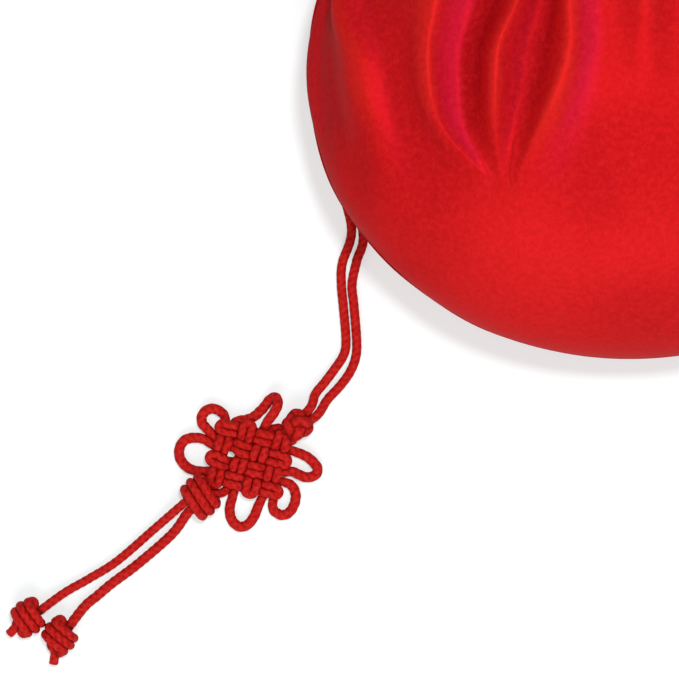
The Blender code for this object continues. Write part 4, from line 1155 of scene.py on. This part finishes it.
def drawstring_path():
    """One turn in the casing, with both ends turned out through the slit side by side."""
    start = math.radians(LEAVE_ANGLE)
    angle = np.linspace(start, 2 * PI - start, RING_POINTS)
    shift = np.linspace(CORD_RING_PITCH / 2, -CORD_RING_PITCH / 2, RING_POINTS)
    ring = np.column_stack([
        -CORD_RING_RADIUS * np.cos(angle),
        Y_NECK + shift,
        SEAM_HEIGHT_NECK + CORD_RING_RADIUS * np.sin(angle),
    ])
    out = CASING_RADIUS + NECK_RIPPLE + CORD_GAP
    bend = CORD_RING_RADIUS + LEAVE_BEND * CORD_RADIUS

    def way_out(end):
        y = Y_NECK + end * CORD_RING_PITCH / 2
        return [(-bend, y, SEAM_HEIGHT_NECK + end * LEAVE_RISE),
                (-(bend + out) / 2, y, SEAM_HEIGHT_NECK + end * LEAVE_SECOND_RISE),
                (-out, y, SEAM_HEIGHT_NECK)]

    points = way_out(1)[::-1] + [tuple(point) for point in ring] + way_out(-1)
    return smooth_path(with_radius(points))


def strand_path(end, route):
    """Free cord from the slit into the button knot."""
    start_x = -(CASING_RADIUS + NECK_RIPPLE + 2 * CORD_GAP)
    start = (start_x, Y_NECK + end * CORD_RING_PITCH / 2, SEAM_HEIGHT_NECK)
    straight = (start_x - CORD_RADIUS, start[1], SEAM_HEIGHT_NECK)
    apart = -end * (CORD_RADIUS + KNOT_GAP)
    entry, inside = [
        beside(*BUTTON_KNOT, BUTTON_HEIGHT - drop, -share * BUTTON_HALF_LENGTH, spread * apart)
        for share, spread, drop in ENTRY_WAY]
    return smooth_path(with_radius([start, straight, *route, entry, inside]))


def tail_path(hand, route, place, axis, thin):
    """Free cord from the wrapped knot to its end knot."""
    apart = hand * (CORD_RADIUS + KNOT_GAP / 2)
    start, leave = [beside(*WRAP_KNOT, WRAP_HEIGHT - drop, share * WRAP_HALF_LENGTH, apart)
                    for share, drop in LEAVE_WAY]
    path = smooth_path(with_radius([start, leave, *route, end_knot_face(place, axis)]))
    path[:, 3] *= thin
    return path


def facing_piece(name, material):
    """Gathered ring inside the casing, its radius least at the cord and rippled round."""
    rows, columns = FACING_ROWS, FACING_COLUMNS
    row = np.linspace(-1, 1, rows)[:, None]
    angle = np.arange(columns)[None, :] / columns * 2 * PI
    half = CASING_LENGTH / 2 + FACING_MARGIN
    least = CORD_RING_RADIUS - CORD_RADIUS - CORD_GAP
    ripple = FACING_RIPPLE * (1 - np.cos(FACING_RIPPLES * angle))
    radius = least + FACING_FLARE * row ** 2 - ripple - FACING_CLEARANCE
    grid = np.stack([radius * np.cos(angle), Y_NECK + half * row + 0 * angle,
                     SEAM_HEIGHT_NECK + radius * np.sin(angle)], -1)
    faces = grid_faces(rows, columns, closed=True)[:, ::-1]
    piece = mesh_piece(name, grid.reshape(-1, 3), faces, material)
    add_wall(piece, FACING_THICKNESS)
    return piece


def add_camera():
    """Camera that looks straight down, as wide as the photo."""
    data = bpy.data.cameras.new("above")
    data.sensor_fit = "HORIZONTAL"
    data.sensor_width = SENSOR_MM
    data.lens = SENSOR_MM * FOCAL_PIXELS / PHOTO_WIDTH
    data.clip_start = 0.01
    data.clip_end = 20
    camera = bpy.data.objects.new("above", data)
    camera.location = CAMERA_PLACE
    bpy.context.scene.collection.objects.link(camera)
    bpy.context.scene.camera = camera


def add_light(name, place, target, size, watts):
    """Round area lamp that faces its target."""
    data = bpy.data.lights.new(name, "AREA")
    data.shape = "DISK"
    data.size = size
    data.energy = watts
    data.color = LAMP_WHITE
    lamp = bpy.data.objects.new(name, data)
    lamp.location = place
    away = unit(np.asarray(place) - np.asarray(target))
    lamp.rotation_euler = (math.acos(away[2]), 0, math.atan2(away[0], -away[1]))
    bpy.context.scene.collection.objects.link(lamp)


def add_studio():
    """Soft lamp nearly overhead, broad fill from the round bottom's side, white room."""
    add_light("window", (0.06, 0.14, 1.14), target=(-0.03, -0.06, 0), size=0.14, watts=6.1)
    add_light("fill", (-0.10, -0.75, 0.62), target=(-0.02, -0.04, 0), size=0.6, watts=3.3)
    world = bpy.data.worlds.new("room")
    world.use_nodes = True
    world.node_tree.nodes["Background"].inputs["Color"].default_value = (1, 1, 1, 1)
    world.node_tree.nodes["Background"].inputs["Strength"].default_value = ROOM_LIGHT
    bpy.context.scene.world = world
    bpy.context.scene.view_settings.view_transform = "Standard"
    half, level = FLOOR_HALF, FLOOR_LEVEL
    corners = [(-half, -half, level), (half, -half, level),
               (half, half, level), (-half, half, level)]
    floor = mesh_piece("table", corners, [(0, 1, 2, 3)], table_finish("white_table"), smooth=False)


add_camera()
add_studio()

cord_look = cord_finish("braided_red_cord")
satin_look = satin_finish("red_satin_cloth")
facing_look = facing_finish("red_facing_cloth")

# Each cord piece: its centreline, the solid that it replaces, whether it is a closed ring
CORD_PIECES = {
    "button_ball": (button_path(), "button_knot", True),
    "woven_knot_first": (woven_path(-1, WAY_IN_A, PAIRS_A, WAY_OUT_A, WEAVE_SEED_A),
                         "endless_knot_a", False),
    "woven_knot_second": (woven_path(1, WAY_IN_B, PAIRS_B, WAY_OUT_B, WEAVE_SEED_B),
                          "endless_knot_b", False),
    "wrapped_knot": (wrap_path(), "wrap_knot", False),
    "end_knot_first": (end_knot_path(*END_KNOT_A, END_TIP_A), "end_knot_a", False),
    "end_knot_second": (end_knot_path(*END_KNOT_B, END_TIP_B), "end_knot_b", False),
    "casing_cord": (drawstring_path(), "drawstring_loop", False),
    "draw_cord_first": (strand_path(1, ROUTE_A), "draw_cord_a", False),
    "draw_cord_second": (strand_path(-1, ROUTE_B), "draw_cord_b", False),
    "tail_first": (tail_path(-1, TAIL_A, *END_KNOT_A, TAIL_LOOK_A), "tail_a", False),
    "tail_second": (tail_path(1, TAIL_B, *END_KNOT_B, TAIL_LOOK_B), "tail_b", False),
}


def crevice_shade_values(name, lines, points):
    """Painted shade: how closely another cord, or a later stretch of the same one, lies against
    each point of a cord's surface: 1 where it touches, 0 from the crevice width on."""
    close = np.full(len(points), 1.0)
    run = np.repeat(np.arange(len(lines[name])) * CORD_STEP, CORD_SIDES)
    for other, way in lines.items():
        way = way[::CREVICE_STRIDE]
        low = way[:, :3].min(0) - CREVICE_SEARCH
        high = way[:, :3].max(0) + CREVICE_SEARCH
        near = ((points > low) & (points < high)).all(1).nonzero()[0]
        for chunk in np.array_split(near, max(1, len(near) // CHUNK)):
            gap = np.linalg.norm(points[chunk, None] - way[None, :, :3], axis=2) - way[None, :, 3]
            if other == name:
                way_run = np.arange(len(way))[None] * CREVICE_STRIDE * CORD_STEP
                gap = np.where(np.abs(run[chunk, None] - way_run) > OWN_STRETCH, gap, 1.0)
            close[chunk] = np.minimum(close[chunk], gap.min(1))
    return 1 - ease(close / CREVICE_SHADE_WIDTH)


cords = {}
lines = {}
for name, (path, node, closed) in CORD_PIECES.items():
    cords[name], lines[name] = braided_tube(name, path, cord_look, closed)
    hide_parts(node)
for name, piece in cords.items():
    points = np.zeros(3 * len(piece.data.vertices))
    piece.data.vertices.foreach_get("co", points)
    points = points.reshape(-1, 3)
    body = len(lines[name]) * CORD_SIDES
    # Painted shade where cords press on each other
    values = crevice_shade_values(name, lines, points[:body])
    add_values(piece, "crevice", np.append(values, np.zeros(len(points) - body)))

front = cloth_piece("front_cloth", 1, FRONT_FINENESS, satin_look)
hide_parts("front_panel")
back = cloth_piece("back_cloth", -1, BACK_FINENESS, satin_look)
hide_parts("back_panel")
facing = facing_piece("casing_facing", facing_look)
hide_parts("hem_facing")
for piece in (front, back):
    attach(piece, "root")
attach(facing, "root")
